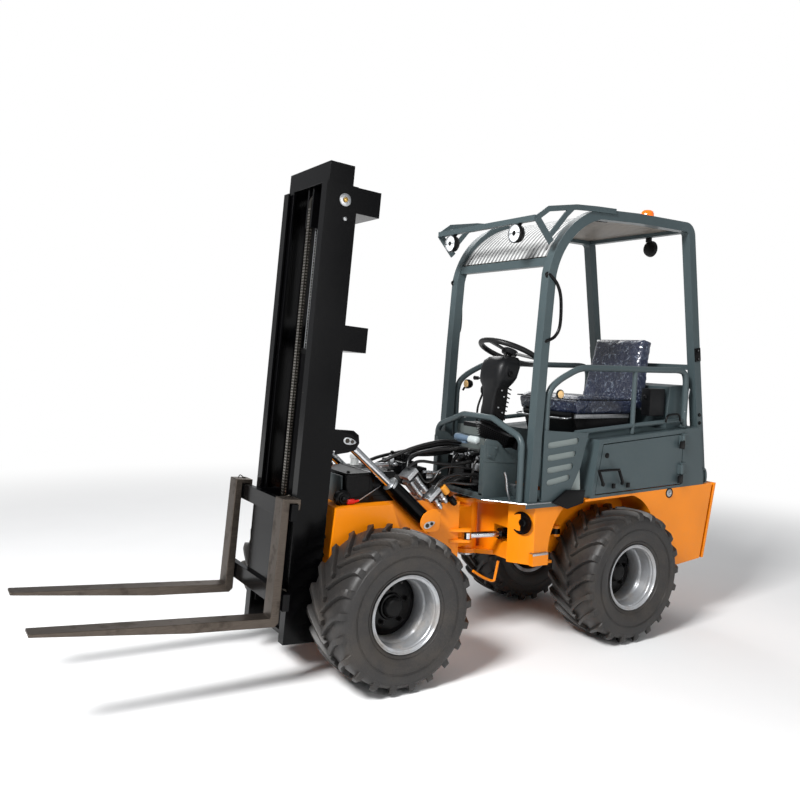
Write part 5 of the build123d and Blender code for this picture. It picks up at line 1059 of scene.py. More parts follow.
plate(side_plate, ((764, 930), (560, 916), (560, 908), (764, 922)), 215.2, 1.6, 0.4)
side_plate.piece("console_side_plate", "rear", dark_panel, "dark_panel")
clutter = Shape()
clutter.turned(at(706, 150, 930), FORWARD, [(0, 16), (30, 16), (34, 12), (46, 12), (46, 0)], 6)
clutter.turned(at(712, 60, 944), FORWARD, [(0, 12), (28, 12), (28, 8), (44, 8)], 16)
clutter.turned(at(700, -40, 910), FORWARD, [(0, 20), (36, 20), (40, 12), (52, 12)], 24)
clutter.slab(at(704, 110, 880), (50, 64, 34), bevel=3)
clutter.turned(at(720, 172, 850), LEFT, [(0, 9), (18, 9), (18, 6), (30, 6)], 16)
clutter.slab(at(700, -110, 950), (44, 40, 70), bevel=4)
clutter.piece("console_fittings", "rear", zinc, "bright_steel")

# Pedals on the floor
PEDAL_AXES = (Vector((0.82, 0, -0.57)), LEFT, Vector((0.57, 0, 0.82)))
pedals = Shape()
for y, tall in ((292, 1.0), (-262, 1.0), (-318, 0.85)):
    pedals.slab(at(622, y, 790), (12, 62, 74), PEDAL_AXES, 2.5)
    pedals.tube(route((650, y, 745), (668, y, 790), (678, y, 850 * tall), (690, y, 880 * tall)), 6, 10)
    for k in range(4):
        pedals.slab(at(610 + 8.4 * k, y, 778 + 12.4 * k), (3, 56, 4), PEDAL_AXES, 0.8)
pedals.piece("pedals", "rear", zinc, "bright_steel")

# Steering wheel hub, column switch, levers
hub = Shape()
hub.turned(
    at(452, 0, 1462) - wheel_axis * 0.012,
    wheel_axis,
    [(0, 40), (20, 46), (27, 40), (30, 22), (30, 0)],
    40,
)
hub.piece("steering_hub", "rear", moulded_black, "wheel_black")
boot = Shape()
boot.turned(
    at(500, 0, 1352),
    wheel_axis,
    [(0, 46), *((4 + 6 * k, 46 - 6 * (k % 2)) for k in range(11)), (70, 36)],
    32,
)
boot.turned(
    at(528, -40, 1318),
    -LEFT,
    [(0, 12), (20, 12), (24, 6), (118, 5), (122, 10), (150, 12), (156, 0)],
    16,
)
boot.turned(at(520, 96, 1350), LEFT, [(0, 16), (8, 16), (10, 12), (10, 0)], 24)
boot.piece("column_fittings", "rear", satin_black, "moulded_black")
screws = Shape()
for x, z in ((548, 1264), (532, 1232), (566, 1176), (540, 1150)):
    screws.turned(at(x, 66, z), LEFT, [(0, 5), (5, 5), (7, 3), (7, 0)], 12)
screws.piece("column_screws", "rear", zinc, "bright_steel")
levers = Shape()
for k in range(3):
    foot = at(470 - 4 * k, -150 - 44 * k, 1050)
    top = at(430 - 4 * k, -158 - 46 * k, 1248 - 8 * k)
    levers.tube([foot, foot + UP * 0.1, top], 6, 10)
    levers.turned(top, (top - foot), [(-6, 7), (6, 14), (26, 17), (40, 12), (46, 0)], 20)
levers.slab(at(482, -196, 1062), (90, 160, 24), bevel=4)
levers.piece("hand_levers", "rear", moulded_black, "moulded_black")

# Work lamps: a black shell, a bright bezel and a fluted lens
for name, side in SIDES:
    centre = at(655, side * 264, 2030)
    shell = Shape()
    shell.turned(
        centre,
        FORWARD,
        [(-25, 16), (-22, 26), (-10, 40), (8, 45), (24, 46), (25.5, 45), (25.5, 41), (20, 40), (20, 0)],
        48,
    )
    shell.slab(centre + UP * 0.044, (16, 34, 10), bevel=2)
    shell.bolt(centre + UP * 0.046 + LEFT * 0.012, LEFT, 9, 4)
    shell.piece("lamp_shell_" + name, "rear", lamp_black, "lamp_black", 38, ("work_lamps",))
    bezel = Shape()
    bezel.turned(
        centre, FORWARD, [(20.5, 42), (25.8, 44.5), (26, 42), (23, 39.5), (20.5, 39)], 48, closed=True
    )
    bezel.piece("lamp_bezel_" + name, "rear", zinc, "bright_steel")
    lens = Shape()
    lens.turned(centre, FORWARD, [(20.3, 39), (22.6, 34), (24.6, 22), (25.4, 8), (25.5, 0)], 48)
    lens.piece("lamp_glass_" + name, "rear", lamp_lens, "lamp_black", 50)
    bulb = Shape()
    bulb.turned(centre, FORWARD, [(24.6, 13), (26, 12), (26, 9), (25.6, 0)], 28)
    bulb.slab(centre + FORWARD * 0.0248, (2, 76, 3), bevel=0.5)
    bulb.piece("lamp_centre_" + name, "rear", lamp_black, "lamp_black")

# Beacon: black foot, fluted amber dome
foot = Shape()
foot.turned(at(-285, 220, 2176), UP, [(0, 42), (6, 42.5), (10, 40), (13, 36), (13, 0)], 48)
foot.piece("beacon_foot", "rear", lamp_black, "lamp_black", 38, ("beacon",))
dome = Shape()
dome.turned(
    at(-285, 220, 2187),
    UP,
    [
        (0, 40), (2, 42), (26, 40), (27, 41), (30, 39.6), (58, 36), (59, 37), (62, 35.6), (72, 32),
        (78, 22), (80, 10), (80.5, 0),
    ],
    56,
)
dome.piece("beacon_dome", "rear", beacon_amber, "beacon_amber", 50)

# Rear work lamp, signal lamps, reflectors and tail lamps
small_lamps = Shape()
small_lamps.turned(
    at(-446, 100, 2086),
    -FORWARD,
    [(0, 22), (6, 40), (22, 46), (26, 46), (26, 41), (22, 40), (22, 0)],
    40,
)
small_lamps.slab(at(-448, 100, 2138), (20, 30, 34), bevel=3)
small_lamps.turned(at(446, 386, 1266), LEFT, [(0, 24), (6, 24), (9, 21), (9, 0)], 32)
small_lamps.turned(at(455, -345, 1277), FORWARD, [(-20, 20), (-4, 26), (12, 26), (14, 22), (14, 0)], 32)
small_lamps.tube(route((470, -372, 1240), (462, -360, 1262), (452, -347, 1270)), 6, 10)
for side in (1, -1):
    small_lamps.slab(at(-660, side * 330, 836), (12, 104, 64), bevel=4)
small_lamps.piece("small_lamp_shells", "rear", lamp_black, "lamp_black")
pale = Shape()
pale.turned(at(446, 394.5, 1266), LEFT, [(0, 19), (3, 18), (4.5, 12), (5, 0)], 32)
pale.turned(at(469, -345, 1277), FORWARD, [(-1, 22), (3, 20), (6, 12), (7, 0)], 32)
pale.piece("marker_lenses", "rear", marker_lens, "beacon_amber")
amber = Shape()
for side in (1, -1):
    amber.slab(at(-667, side * 354, 836), (6, 44, 52), bevel=2)
amber.piece("amber_lenses", "rear", amber_reflector, "beacon_amber")
tail = Shape()
for side in (1, -1):
    tail.slab(at(-667, side * 306, 836), (6, 44, 52), bevel=2)
tail.piece("tail_lenses", "rear", red_plastic, "beacon_amber")
glass = Shape()
glass.turned(at(-469.5, 100, 2086), -FORWARD, [(-1, 40), (2, 34), (3.5, 0)], 40)
glass.piece("rear_lamp_glass", "rear", lamp_lens, "lamp_black", 50)

# Grab handles beside the front posts
for name, side in SIDES:
    grab = Shape()
    y = side * 392
    grab.tube(
        route(
            (561, y - side * 12, 1838), (548, y, 1832), (508, y + side * 8, 1790),
            (486, y + side * 12, 1720), (484, y + side * 12, 1600), (508, y + side * 6, 1545),
            (552, y, 1522), (564, y - side * 12, 1518),
        ),
        8,
        14,
    )
    for x, z in ((559, 1836), (562, 1519)):
        grab.turned(at(x, y - side * 12, z), LEFT * side, [(0, 15), (6, 15), (8, 11)], 24)
    grab.piece("grab_handle_" + name, "rear", satin_black, "moulded_black", 50)

# Clamp plates and bolts on the rear posts
clamps = Shape()
post_lean = Vector((0.158, 0, 1)).normalized()
post_side = post_lean.cross(LEFT)
for side in (1, -1):
    clamps.slab(at(-556, side * 394, 1491), (46, 6, 74), (post_side, LEFT, post_lean), 1.5)
    for x, z in ((-552, 1512), (-559, 1468), (-603, 1158), (-609, 1113)):
        clamps.bolt(at(x, side * 396 if z > 1400 else side * 392, z), LEFT * side, 13, 8)
clamps.piece("post_clamps", "rear", satin_black, "moulded_black")

# Body side: rubber wedge, boss, grips and door handles
trim = Shape()
for side in (1, -1):
    wedge = [(486, 739), (391, 797), (269, 790), (278, 725), (385, 702)]
    trim.prism([at(x, side * 404, z) for x, z in wedge], LEFT * side * 0.014, 3)
    trim.turned(
        at(-363, side * 415, 738),
        LEFT * side,
        [(-4, 27), (3, 27), (4, 24), (1, 21), (-4, 21)],
        36,
        closed=True,
    )
trim.piece("rubber_trim", "rear", satin_black, "moulded_black")
bosses = Shape()
for side in (1, -1):
    bosses.turned(at(-363, side * 413, 738), LEFT * side, [(0, 21), (4, 20), (6, 12), (6, 0)], 32)
    bosses.bolt(at(-363, side * 419, 738), LEFT * side, 14, 7, False)
bosses.piece("side_bosses", "rear", zinc, "bright_steel")
grips = Shape()
for side in (1, -1):
    y = side * 398
    grips.tube(
        route(
            (-323, y, 1120), (-330, y, 1148), (-352, y, 1160), (-412, y, 1164), (-433, y, 1150),
            (-440, y, 1126),
        ),
        6,
        12,
    )
    foot_y = side * 431
    grips.slab(at(85, foot_y, 803), (20, 10, 26), bevel=2)
    grips.slab(at(-21, foot_y, 802), (20, 10, 26), bevel=2)
grips.piece("hood_grips", "rear", satin_black, "moulded_black")
for name, side in SIDES:
    handle = Shape()
    y = side * 437
    handle.tube(
        route(
            (204, y - side * 2, 886), (196, y + side * 3, 887), (130, y + side * 4, 888),
            (66, y + side * 3, 887), (57, y - side * 2, 886),
        ),
        6.5,
        12,
    )
    for top, foot in ((204, 166), (62, 28)):
        handle.slab(
            at(top - 18, y + side * 3, 850),
            (14, 9, 78),
            (Vector((0.9, 0, -0.44)), LEFT, Vector((0.44, 0, 0.9))),
            2.5,
        )
        handle.turned(at(foot, y - side * 4, 816), LEFT * side, [(0, 11), (6, 11), (7, 8), (7, 0)], 20)
    for z in (812, 1000):
        handle.turned(at(-440, side * 430, z - 24), UP, [(0, 7), (48, 7)], 16)
        handle.slab(at(-420, side * 434, z), (30, 5, 40), bevel=1)
    handle.turned(at(150, side * 436, 962), LEFT * side, [(0, 14), (3, 14), (4, 10), (4, 0)], 24)
    handle.piece("door_handle_" + name, "door_" + name, satin_black, "moulded_black", 50)
shackle = Shape()
for side in (1, -1):
    shackle.tube(
        route(
            (-640, side * 395, 776), (-640, side * 395, 820), (-652, side * 395, 850),
            (-676, side * 395, 850), (-688, side * 395, 820), (-688, side * 395, 776),
        ),
        7,
        12,
    )
shackle.piece("deck_eyes", "rear", slate_paint, "slate_paint", 50)

backing = Shape()
for side in (1, -1):
    backing.prism(
        [at(x, side * 381, z) for x, z in ((270, 772), (500, 772), (516, 1050), (300, 1050))],
        LEFT * side * 0.002,
    )
backing.piece(
    "slot_backing", "rear", painted("pale_panel", linear(150, 160, 158), 0.5, 0.1), "slate_paint"
)

# Step treads, floor lip and the lock bar of the joint
treads = Shape()
for side in (1, -1):
    for k in range(12):
        treads.slab(at(495 + 8.2 * k, side * 397, 494.4), (3.4, 26, 4.8), bevel=0.9)
    treads.slab(at(540, side * 410.4, 489), (98, 2, 9), bevel=0.6)
    treads.tube(
        route(
            (306, side * 404, 738), (470, side * 404, 739), (640, side * 404, 739),
            (768, side * 222, 739),
        ),
        3.2,
        8,
        False,
    )
treads.piece("step_treads", "rear", zinc, "bright_steel")
lock = Shape()
lock.tube(
    route(
        (586, 150, 399), (600, 150, 330), (612, 150, 300), (660, 150, 316), (705, 150, 340),
        (744, 150, 365),
    ),
    7,
    12,
)
lock.piece("lock_bar", "rear", orange_paint, "orange_paint", 50)
horn = Shape()
horn.turned(
    at(606, 342, 636),
    Vector((0.94, 0.34, 0)),
    [(-28, 22), (-22, 30), (-4, 36), (4, 55), (9, 56), (9, 52), (2, 42), (2, 20), (8, 14), (8, 0)],
    40,
)
horn.piece("horn", "rear", satin_black, "lamp_black")

# Seat: black box behind, slides under the cushion, strut
box = Shape()
box.slab(at(-336, 292, 1222), (118, 62, 150), bevel=6)
box.turned(at(-276, 292, 1250), FORWARD, [(0, 12), (8, 12), (12, 7), (12, 0)], 20)
box.slab(at(-40, 0, 1147), (420, 372, 16), bevel=3)
box.piece("seat_side_box", "rear", moulded_black, "seat_black")
slides = Shape()
for side in (1, -1):
    slides.slab(at(-40, side * 206, 1139), (400, 14, 22), bevel=2)
    slides.tube(route((180, side * 196, 1132), (214, side * 196, 1128), (232, side * 150, 1127)), 5, 10)
slides.rod(at(232, -150, 1127), at(232, 150, 1127), 5)
slides.tube(route((-494, 380, 1174), (-507, 380, 1240), (-520, 380, 1301)), 7, 10)
slides.bolt(at(-330, 226, 1180), LEFT, 18, 8)
slides.piece("seat_slides", "rear", zinc, "bright_steel")


CLOTH_FRAMES = 20


def puffed(node, name, cap, shrink):
    """A cushion blown up a little in its cover by Cloth, from a slightly smaller copy of its solid."""
    source = frame["nodes"][node]
    bm = bmesh.new()
    bm.from_mesh(source.data)
    bmesh.ops.remove_doubles(bm, verts=bm.verts, dist=0.00002)
    middle = sum((v.co for v in bm.verts), Vector()) / len(bm.verts)
    for vertex in bm.verts:
        offset = vertex.co - middle
        longest = max(abs(part) for part in offset)
        vertex.co = middle + offset * (1 - shrink / 1000 / max(longest, 0.02))
    mesh = bpy.data.meshes.new(name)
    bm.to_mesh(mesh)
    bm.free()
    thing = placed(name, mesh)
    skin = thing.modifiers.new("skin", "REMESH")
    skin.mode = "VOXEL"
    skin.voxel_size = 0.0065
    settle(thing)
    rest = [vertex.co.copy() for vertex in thing.data.vertices]
    cloth = thing.modifiers.new("cloth", "CLOTH")
    cloth.settings.use_pressure = True
    cloth.settings.uniform_pressure_force = 4
    cloth.settings.effector_weights.gravity = 0
    cloth.settings.tension_stiffness = 12
    cloth.settings.compression_stiffness = 12
    cloth.settings.bending_stiffness = 0.4
    cloth.settings.quality = 4
    cloth.point_cache.frame_start = 1
    cloth.point_cache.frame_end = CLOTH_FRAMES
    scene = bpy.context.scene
    for number in range(1, CLOTH_FRAMES + 1):
        scene.frame_set(number)
    layer = bpy.context.evaluated_depsgraph_get()
    blown = thing.evaluated_get(layer).to_mesh()
    moved = [vertex.co.copy() for vertex in blown.vertices]
    thing.evaluated_get(layer).to_mesh_clear()
    thing.modifiers.clear()
    scene.frame_set(1)
    for vertex, start, end in zip(thing.data.vertices, rest, moved):
        step = end - start
        if step.length > cap / 1000:
            step *= cap / 1000 / step.length
        vertex.co = start + step
    finer = thing.modifiers.new("finer", "SUBSURF")
    finer.levels = 1
    settle(thing)
    thing.data.materials.clear()
    thing.data.materials.append(seat_vinyl)
    soften(thing.data, 80)
    mounted(thing, "rear", (node,))


puffed("seat_cushion", "seat_cushion_cover", 11, 9)
puffed("seat_back", "seat_back_cover", 11, 9)
piping = Shape()
ring = [
    (-262, -226), (-262, 226), (-255, 232), (180, 232), (190, 226), (190, -226), (180, -232),
    (-255, -232),
]
loop = [at(x, y, 1228) for x, y in ring]
for first, last in zip(loop, loop[1:] + loop[:1]):
    piping.rod(first, last, 3.2, 8)
piping.piece("seat_piping", "rear", satin_black, "seat_vinyl", 60)

# Wires under the edge of the roof
for name, side in SIDES:
    wire = Shape()
    wire.tube(
        route(
            (500, side * 300, 1962), (440, side * 300, 2022), (330, side * 300, 2092),
            (236, side * 300, 2140), (100, side * 300, 2152),
        ),
        7,
        10,
    )
    wire.piece("roof_cable_" + name, "rear", satin_black, "moulded_black", 50)

# Rear cover grille and exhaust
grille = in_row("grille_slats", satin_black, 13, at(-598, 0, 1132), Vector((-0.0012, 0, 0.0135)))
slat = Shape()
slat.slab(Vector((0, 0, 0)), (10, 420, 4.5), (Vector((0.87, 0, -0.5)), LEFT, Vector((0.5, 0, 0.87))), 1)
grille.grow(slat, "cover_grille", "rear", "moulded_black")
exhaust = Shape()
exhaust.tube(
    route(
        (-560, -300, 1080), (-560, -300, 1200), (-562, -300, 1330), (-585, -300, 1372),
        (-620, -300, 1392),
    ),
    21,
    24,
)
exhaust.piece("exhaust", "rear", oiled_steel, "chain_steel", 50)

# Front frame: tank bands, filler, motor, valves, pipes
tank = Shape()
for z in (779, 873):
    tank.slab(at(1348, 0, z), (267, 294, 4), bevel=1.2)
tank.slab(at(1348, 0, 826), (24, 296, 128), bevel=1.5)
for x in (1240, 1456):
    for y in (-120, 120):
        tank.bolt(at(x, y, 888), UP, 12, 6)
tank.piece("tank_bands", "front", mast_black, "tank_black")
filler = Shape()
filler.turned(
    at(1300, -106, 882),
    UP,
    [(0, 24), (8, 24), (9, 20), (36, 20), (38, 24), (52, 24), (55, 20), (55, 0)],
    32,
)
filler.piece(
    "filler_cap", "front", painted("cap_pale", linear(226, 228, 226), 0.4, 0.1), "bright_steel"
)
upright = Shape()
upright.slab(at(1492, 66, 812), (6, 128, 128), bevel=1.5)
upright.piece("front_upright", "front", dark_panel, "dark_panel")
drive = Shape()
drive.turned(
    at(1500, 150, 780),
    LEFT,
    [(-16, 30), (-12, 37), (10, 38), (14, 34), (16, 24), (22, 22), (22, 0)],
    40,
)
drive.turned(at(1500, 172, 780), LEFT, [(0, 14), (8, 14), (10, 10), (10, 0)], 6)
drive.piece("front_motor", "front", satin_black, "tank_black")
red = Shape()
red.tube(route((1478, 168, 764), (1452, 170, 762), (1424, 170, 768)), [9, 7, 5], 10, False)
red.slab(at(1466, 168, 765), (38, 16, 22), bevel=4)
red.piece("red_lever", "front", red_plastic, "orange_paint")
thin = Shape()
thin.tube(route((1424, 170, 768), (1362, 160, 796), (1300, 149, 824)), 2.4, 8, False)
pipe = route((1306, -30, 900), (1229, -30, 894), (1155, -30, 893))
thin.tube(pipe, 10, 16)
thin.turned(at(1150, -30, 893), FORWARD, [(-18, 15), (0, 15), (2, 11)], 6)
thin.turned(at(1139, -30, 905), UP, [(0, 17), (16, 17), (18, 12), (32, 12), (32, 0)], 6)
thin.piece("silver_pipe", "front", zinc, "bright_steel")

# Valve blocks with their spring sleeved couplings
slope = (at(1030, 100, 790) - at(1120, 100, 890)).normalized()
slope_across = slope.cross(LEFT)
blocks = Shape()
blocks.slab(at(1120, 100, 866), (22, 84, 66), (slope, LEFT, slope_across), 3)
blocks.slab(at(1016, 150, 770), (22, 60, 84), (slope, LEFT, slope_across), 3)
blocks.piece("valve_blocks", "front", zinc, "bright_steel")
springs = Shape()
for y, cross in ((78, 24), (78, -12), (122, 24), (122, -12)):
    start = at(1106, y, 846) + slope_across * cross / 1000
    springs.turned(
        start,
        slope,
        [
            (0, 15),
            (16, 15),
            *((18 + 5 * k, 14 if k % 2 else 11.5) for k in range(12)),
            (80, 15),
            (96, 15),
            (96, 11),
        ],
        20,
    )
for y, cross in ((132, -26), (168, -26), (132, 14), (168, 14)):
    start = at(1000, y, 756) + slope_across * cross / 1000
    springs.turned(
        start,
        slope,
        [(0, 15), (14, 15), (16, 11), (30, 11), (32, 14), (52, 14), (52, 10), (60, 10)],
        16,
    )
springs.piece("valve_couplings", "front", zinc, "bright_steel")
caps = Shape()
caps.turned(at(944, 150, 790), slope, [(-14, 17), (8, 19), (26, 18), (30, 10), (30, 0)], 24)
caps.piece(
    "coupling_cap_amber", "front", painted("cap_amber", linear(226, 150, 52), 0.4, 0.2), "orange_paint"
)
ends = Shape()
for place in (at(926, 140, 748), at(902, 168, 732)):
    ends.turned(place, slope, [(-20, 15), (10, 17), (12, 13), (22, 13), (22, 0)], 24)
ends.piece("coupling_ends", "front", satin_black, "tank_black")

# Pin keepers of the tilt cylinders and rings on their barrels
def outline_round(centre, points):
    """Places on a smooth closed line through (x, z) points about a centre."""
    ring = [Vector((x, 0, z)) for x, z in points]
    line = flowing([ring[-1], *ring, ring[0], ring[1]], 5)
    return [centre + place / 1000 for place in line[5:-6]]


EAR = (
    (-70, -58), (-44, -54), (-8, -50), (30, -40), (48, -10), (44, 26), (18, 46), (-20, 50), (-50, 52),
    (-72, 54),
)
BRACKET = ((-56, -32), (-20, -44), (24, -38), (50, -8), (40, 34), (4, 58), (-36, 60), (-60, 30))
ears = Shape()
for side in (1, -1):
    ring = [at(1508 - x, side * 213, 1043 + z) for x, z in EAR]
    ears.prism(ring, LEFT * side * 0.008, 2.5)
    ears.rod(at(1508, side * 160, 1043), at(1508, side * 221, 1043), 20, 24)
ears.piece("tilt_ears", "mast", mast_black, "mast_black")
brackets = Shape()
for side in (1, -1):
    brackets.prism(outline_round(at(1078, side * 230, 652), BRACKET), LEFT * side * 0.005, 1.5)
    brackets.rod(at(1056, side * 150, 640), at(1056, side * 231, 640), 19, 24)
brackets.piece("tilt_base_plates", "front", orange_paint, "orange_paint")
for name, body, x, z, y, along in (
    ("base", "front", 1080, 644, 235, Vector((-0.96, 0, 0.28))),
    ("eye", "mast", 1510, 1043, 221, Vector((-0.98, 0, -0.2))),
):
    keepers = Shape()
    heads = Shape()
    for side in (1, -1):
        centre = at(x, side * y, z)
        ring = []
        across = (LEFT * side).cross(along)
        for k in range(28):
            a = math.tau * k / 28
            girth = 15 * math.sin(a) * (1 - 0.3 * math.cos(a))
            ring.append(centre + along * math.cos(a) * 0.032 + across * girth / 1000)
        keepers.prism(ring, LEFT * side * 0.003, 0.8)
        for share, across_flats in ((-0.013, 13), (0.012, 10)):
            heads.bolt(centre + along * share + LEFT * side * 0.003, LEFT * side, across_flats, 2)
    keepers.piece("tilt_keepers_" + name, body, zinc, "bright_steel")
    heads.piece("tilt_keeper_bolts_" + name, body, oiled_steel, "bright_steel")
tilt_along = (at(1508, 0, 1043) - at(1056, 0, 640)).normalized()
glands = Shape()
for side in (1, -1):
    base = at(1056, side * 192, 640)
    glands.turned(
        base + tilt_along * 0.286, tilt_along, [(0, 37.6), (12, 37.6), (14, 34), (17, 25)], 40
    )
glands.piece("tilt_glands", "tilt_barrels", zinc, "bright_steel")

# Mast: chain links on the straight run, sheave, head discs, gland and bolts
CHAIN_LINKS = 49
CHAIN_PITCH = 0.0262
link = Shape()
for y in (-11.5, -6, 0, 6, 11.5):
    link.slab(Vector((0, y / 1000, 0)), (15, 2.2, 27), (MAST_FORWARD, LEFT, MAST_UP), 0.8)
for up in (MAST_UP * 0.0065, MAST_UP * -0.0065):
    for half, radius, sides in ((LEFT * 0.0145, 4.2, 12), (LEFT * 0.0105, 8.6, 16)):
        link.rod(up - half, up + half, radius, sides)
bright_chain = bare_steel("bright_chain", linear(168, 164, 156), 0.3, stain=0.25)
chain = in_row("chain_links", bright_chain, CHAIN_LINKS, on_mast(160, 0, 500), MAST_UP * CHAIN_PITCH)
chain.grow(link, "chain_run", "inner", "chain_steel")
sheave = Shape()
brass = Shape()
disc = Shape()
hearts = Shape()
for side in (1, -1):
    out = LEFT * side
    sheave.turned(on_mast(110, side * 17, 1790), out, [(0, 30), (6, 30), (8, 26), (8, 0)], 40)
    brass.turned(on_mast(110, side * 25, 1790), out, [(0, 12), (5, 12), (7, 8), (7, 0)], 6)
    disc.turned(
        on_mast(110, side * 221, 1786), out, [(0, 27), (5, 27), (7, 24), (7, 13), (3, 12), (3, 0)], 40
    )
    disc.turned(on_mast(104, side * 221, 1706), out, [(0, 9), (9, 9), (11, 6), (11, 0)], 6)
    hearts.turned(on_mast(110, side * 224, 1786), out, [(0, 11), (8, 11), (10, 8), (10, 0)], 6)
sheave.piece("sheave_cheeks", "inner", zinc, "bright_steel")
disc.piece("head_discs", "mast", zinc, "bright_steel")
BRASS = linear(206, 168, 92)
worn_brass = bare_steel("worn_brass", BRASS, 0.28, stain=0.2)
hearts.piece("head_disc_bolts", "mast", worn_brass, "bright_steel")
brass.piece("sheave_bolts", "inner", painted("brass", BRASS, 0.3, 0.2), "bright_steel")
gland = Shape()
gland.turned(on_mast(105, 0, 1124), MAST_UP, [(0, 46.5), (18, 46.5), (20, 42), (24, 40), (26, 30)], 48)
gland.turned(on_mast(105, 0, 60), MAST_UP, [(0, 46), (8, 47.5), (16, 46)], 48)
gland.piece("lift_gland", "mast", satin_black, "cylinder_black")
marks = Shape()
for side in (1, -1):
    for height in (1205, 1795, 300, 700):
        for step in (-40, 40):
            marks.bolt(on_mast(49, side * 206, height + step), -MAST_FORWARD, 15, 8)
marks.piece("mast_bolts", "mast", mast_black, "mast_black")
pins = Shape()
for side in (1, -1):
    pins.turned(on_mast(248, side * 266, 508), MAST_UP, [(0, 9), (16, 9), (18, 6), (18, 0)], 20)
    pins.tube(
        [on_mast(248, side * 266, 522), on_mast(262, side * 280, 532), on_mast(276, side * 266, 522)],
        2.4,
        8,
    )
    for height in (94, 466):
        pins.turned(
            on_mast(214, side * 190, height), LEFT * side, [(0, 26), (22, 26), (24, 20), (24, 0)], 32
        )
pins.piece("carriage_rollers", "carriage", oiled_steel, "chain_steel")

# Valve bank under the hoses
bank = Shape()
bank.slab(at(1084, -40, 880), (92, 190, 64), bevel=5)
bank.slab(at(1010, -60, 830), (110, 150, 90), bevel=8)
bank.slab(at(930, -30, 800), (120, 180, 60), bevel=8)
for k in range(5):
    bank.turned(
        at(1084, -112 + 36 * k, 906), UP, [(0, 13), (16, 13), (20, 9), (40, 9), (42, 4), (42, 0)], 16
    )
    bank.turned(at(1040, -112 + 36 * k, 872), -FORWARD, [(0, 14), (30, 14), (34, 9), (48, 9)], 12)
bank.piece("valve_bank", "front", satin_black, "tank_black")
unions = Shape()
for k in range(4):
    unions.turned(at(1126, -98 + 36 * k, 896), FORWARD, [(0, 10), (12, 10), (12, 8), (26, 8)], 6)
    unions.turned(at(1000 - 18 * k, 40 + 14 * k, 858), -FORWARD, [(0, 9), (14, 9), (14, 7), (24, 7)], 6)
unions.piece("valve_unions", "front", zinc, "bright_steel")

# Hoses between the console, the valves and the tank
BUNDLE_DIAMETER = 19
for k in range(5):
    lift = 12 * (k % 3)
    hose(
        f"hose_bundle_{k}",
        BUNDLE_DIAMETER,
        route(
            (740, -70 + 24 * k, 948 + lift), (800, -70 + 24 * k, 962 + lift),
            (880, -66 + 22 * k, 958 + lift), (960, -62 + 20 * k, 946 + lift),
            (1040, -60 + 20 * k, 934 + lift), (1088, -60 + 24 * k, 908),
        ),
    )
    hose(
        f"hose_low_bundle_{k}",
        BUNDLE_DIAMETER,
        route(
            (742, -40 + 34 * k, 800 + 6 * k), (800, -40 + 34 * k, 812 + 6 * k),
            (870, -40 + 32 * k, 818 - 4 * k), (930, -36 + 30 * k, 810 - 4 * k),
            (980, -34 + 28 * k, 800),
        ),
    )
HOSES = (
    # name, diameter, body or None where it crosses the joint, places along it
    (
        "hose_valve_upper",
        15,
        None,
        (
            (752, 66, 968), (786, 64, 976), (850, 60, 966), (914, 58, 968), (1008, 60, 962),
            (1080, 66, 950), (1112, 78, 924), (1118, 86, 892),
        ),
    ),
    (
        "hose_tank_far",
        17,
        None,
        (
            (752, 10, 992), (800, 14, 1000), (863, 20, 1008), (959, 20, 996), (1064, 16, 972),
            (1120, 6, 944), (1158, -10, 930), (1184, -24, 908),
        ),
    ),
    (
        "hose_valve_middle",
        15,
        None,
        (
            (752, 104, 908), (790, 104, 902), (850, 102, 898), (920, 100, 902), (990, 100, 914),
            (1050, 100, 924), (1096, 102, 916), (1124, 104, 892),
        ),
    ),
    (
        "hose_loop",
        11,
        None,
        (
            (752, 128, 870), (800, 126, 884), (880, 118, 894), (944, 112, 884), (966, 110, 846),
            (994, 110, 820), (1036, 108, 822), (1058, 106, 860), (1084, 104, 884),
        ),
    ),
    (
        "hose_lower",
        15,
        None,
        (
            (752, 150, 846), (800, 150, 856), (863, 150, 858), (923, 150, 852), (966, 150, 832),
            (990, 150, 806), (1004, 150, 786),
        ),
    ),
    (
        "hose_side",
        13,
        None,
        (
            (752, 168, 806), (800, 160, 806), (852, 146, 812), (900, 138, 820), (950, 136, 812),
            (984, 134, 790),
        ),
    ),
    (
        "hose_far_low",
        17,
        None,
        (
            (752, -60, 940), (820, -60, 930), (900, -62, 926), (1000, -66, 930), (1100, -70, 918),
            (1180, -76, 898), (1226, -80, 876),
        ),
    ),
    (
        "hose_far_high",
        17,
        None,
        (
            (752, -110, 980), (820, -112, 978), (900, -114, 960), (1000, -116, 944),
            (1100, -116, 930), (1190, -112, 914), (1238, -106, 896),
        ),
    ),
    (
        "hose_block",
        11,
        "front",
        (
            (1094, 90, 806), (1080, 92, 780), (1050, 96, 762), (1020, 104, 756), (1000, 114, 762),
            (990, 122, 776),
        ),
    ),
    (
        "hose_inside_console",
        13,
        "rear",
        (
            (742, 150, 930), (768, 150, 914), (772, 148, 860), (768, 130, 812), (742, 104, 790),
        ),
    ),
    (
        "hose_inside_console_far",
        15,
        "rear",
        (
            (742, -20, 930), (766, -24, 910), (770, -40, 850), (762, -60, 800), (736, -80, 776),
        ),
    ),
)
for name, diameter, body, route in HOSES:
    hose(name, diameter, [at(*place) for place in route], body)


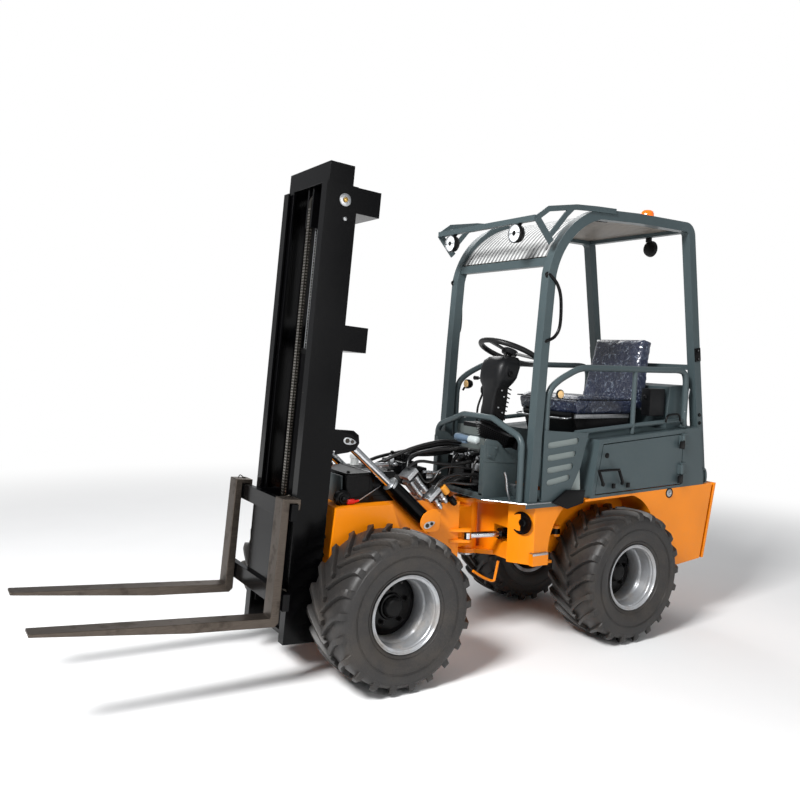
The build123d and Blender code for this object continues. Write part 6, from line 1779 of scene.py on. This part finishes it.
# Floor, lights and background
FLOOR_FADE = (3.2, 6.5)
floor_mesh = bmesh.new()
bmesh.ops.create_circle(floor_mesh, cap_ends=True, segments=64, radius=24)
floor_data = bpy.data.meshes.new("floor")
floor_mesh.to_mesh(floor_data)
floor_mesh.free()
floor = placed("floor", floor_data)
floor_finish = Finish("floor")
distance = floor_finish.node(
    "ShaderNodeVectorMath", {"operation": "LENGTH"}, out="Value", Vector=floor_finish.place
)
fade = floor_finish.between(distance, *FLOOR_FADE)
floor_finish.set(
    colour=floor_finish.mix(floor_finish.noise(3, 3), (0.85, 0.85, 0.85), (0.88, 0.88, 0.88)),
    roughness=0.9,
)
glow = floor_finish.node("ShaderNodeEmission", Color=(1, 1, 1, 1))
blend = floor_finish.node("ShaderNodeMixShader", Fac=fade)
floor_finish.tree.links.new(floor_finish.shader.outputs[0], blend.socket.node.inputs[1])
floor_finish.tree.links.new(glow.socket, blend.socket.node.inputs[2])
floor_finish.tree.links.new(blend.socket, floor_finish.output.inputs["Surface"])
floor_data.materials.append(floor_finish.material)

AIR_LIGHT = 0.3
GLOSSY_SHARE = 0.12
world = bpy.data.worlds.new("world")
bpy.context.scene.world = world
world.use_nodes = True
sky = world.node_tree
sky.nodes.clear()
seen = sky.nodes.new("ShaderNodeBackground")
seen.inputs["Color"].default_value = (1, 1, 1, 1)
lit = sky.nodes.new("ShaderNodeBackground")
lit.inputs["Color"].default_value = (0.95, 0.97, 1, 1)
lit.inputs["Strength"].default_value = AIR_LIGHT
ways = sky.nodes.new("ShaderNodeLightPath").outputs
camera_ray, glossy_ray, transmitted_ray = (
    Wire(sky, ways[name]) for name in ("Is Camera Ray", "Is Glossy Ray", "Is Transmission Ray")
)
share = camera_ray.largest(glossy_ray * GLOSSY_SHARE).largest(transmitted_ray)
sky_mix = sky.nodes.new("ShaderNodeMixShader")
sky_out = sky.nodes.new("ShaderNodeOutputWorld")
sky.links.new(share.socket, sky_mix.inputs[0])
sky.links.new(lit.outputs[0], sky_mix.inputs[1])
sky.links.new(seen.outputs[0], sky_mix.inputs[2])
sky.links.new(sky_mix.outputs[0], sky_out.inputs["Surface"])

LIGHT_AIM = Vector((0, 0, 0.8))
LAMPS = (
    # name, place, watts, width
    ("key", (4.3, 2.1, 4.9), 600, 1.6),
    ("fill", (-0.6, 6.4, 2.4), 80, 3.0),
    ("back", (-2.5, -4.5, 4.5), 110, 3.0),
)
for name, place, watts, width in LAMPS:
    lamp = bpy.data.lights.new(name, "AREA")
    lamp.energy = watts
    lamp.size = width
    holder = placed(name, lamp)
    place = Vector(place)
    turn = (LIGHT_AIM - place).to_track_quat("-Z", "Y").to_matrix().to_4x4()
    holder.matrix_world = Matrix.Translation(place) @ turn
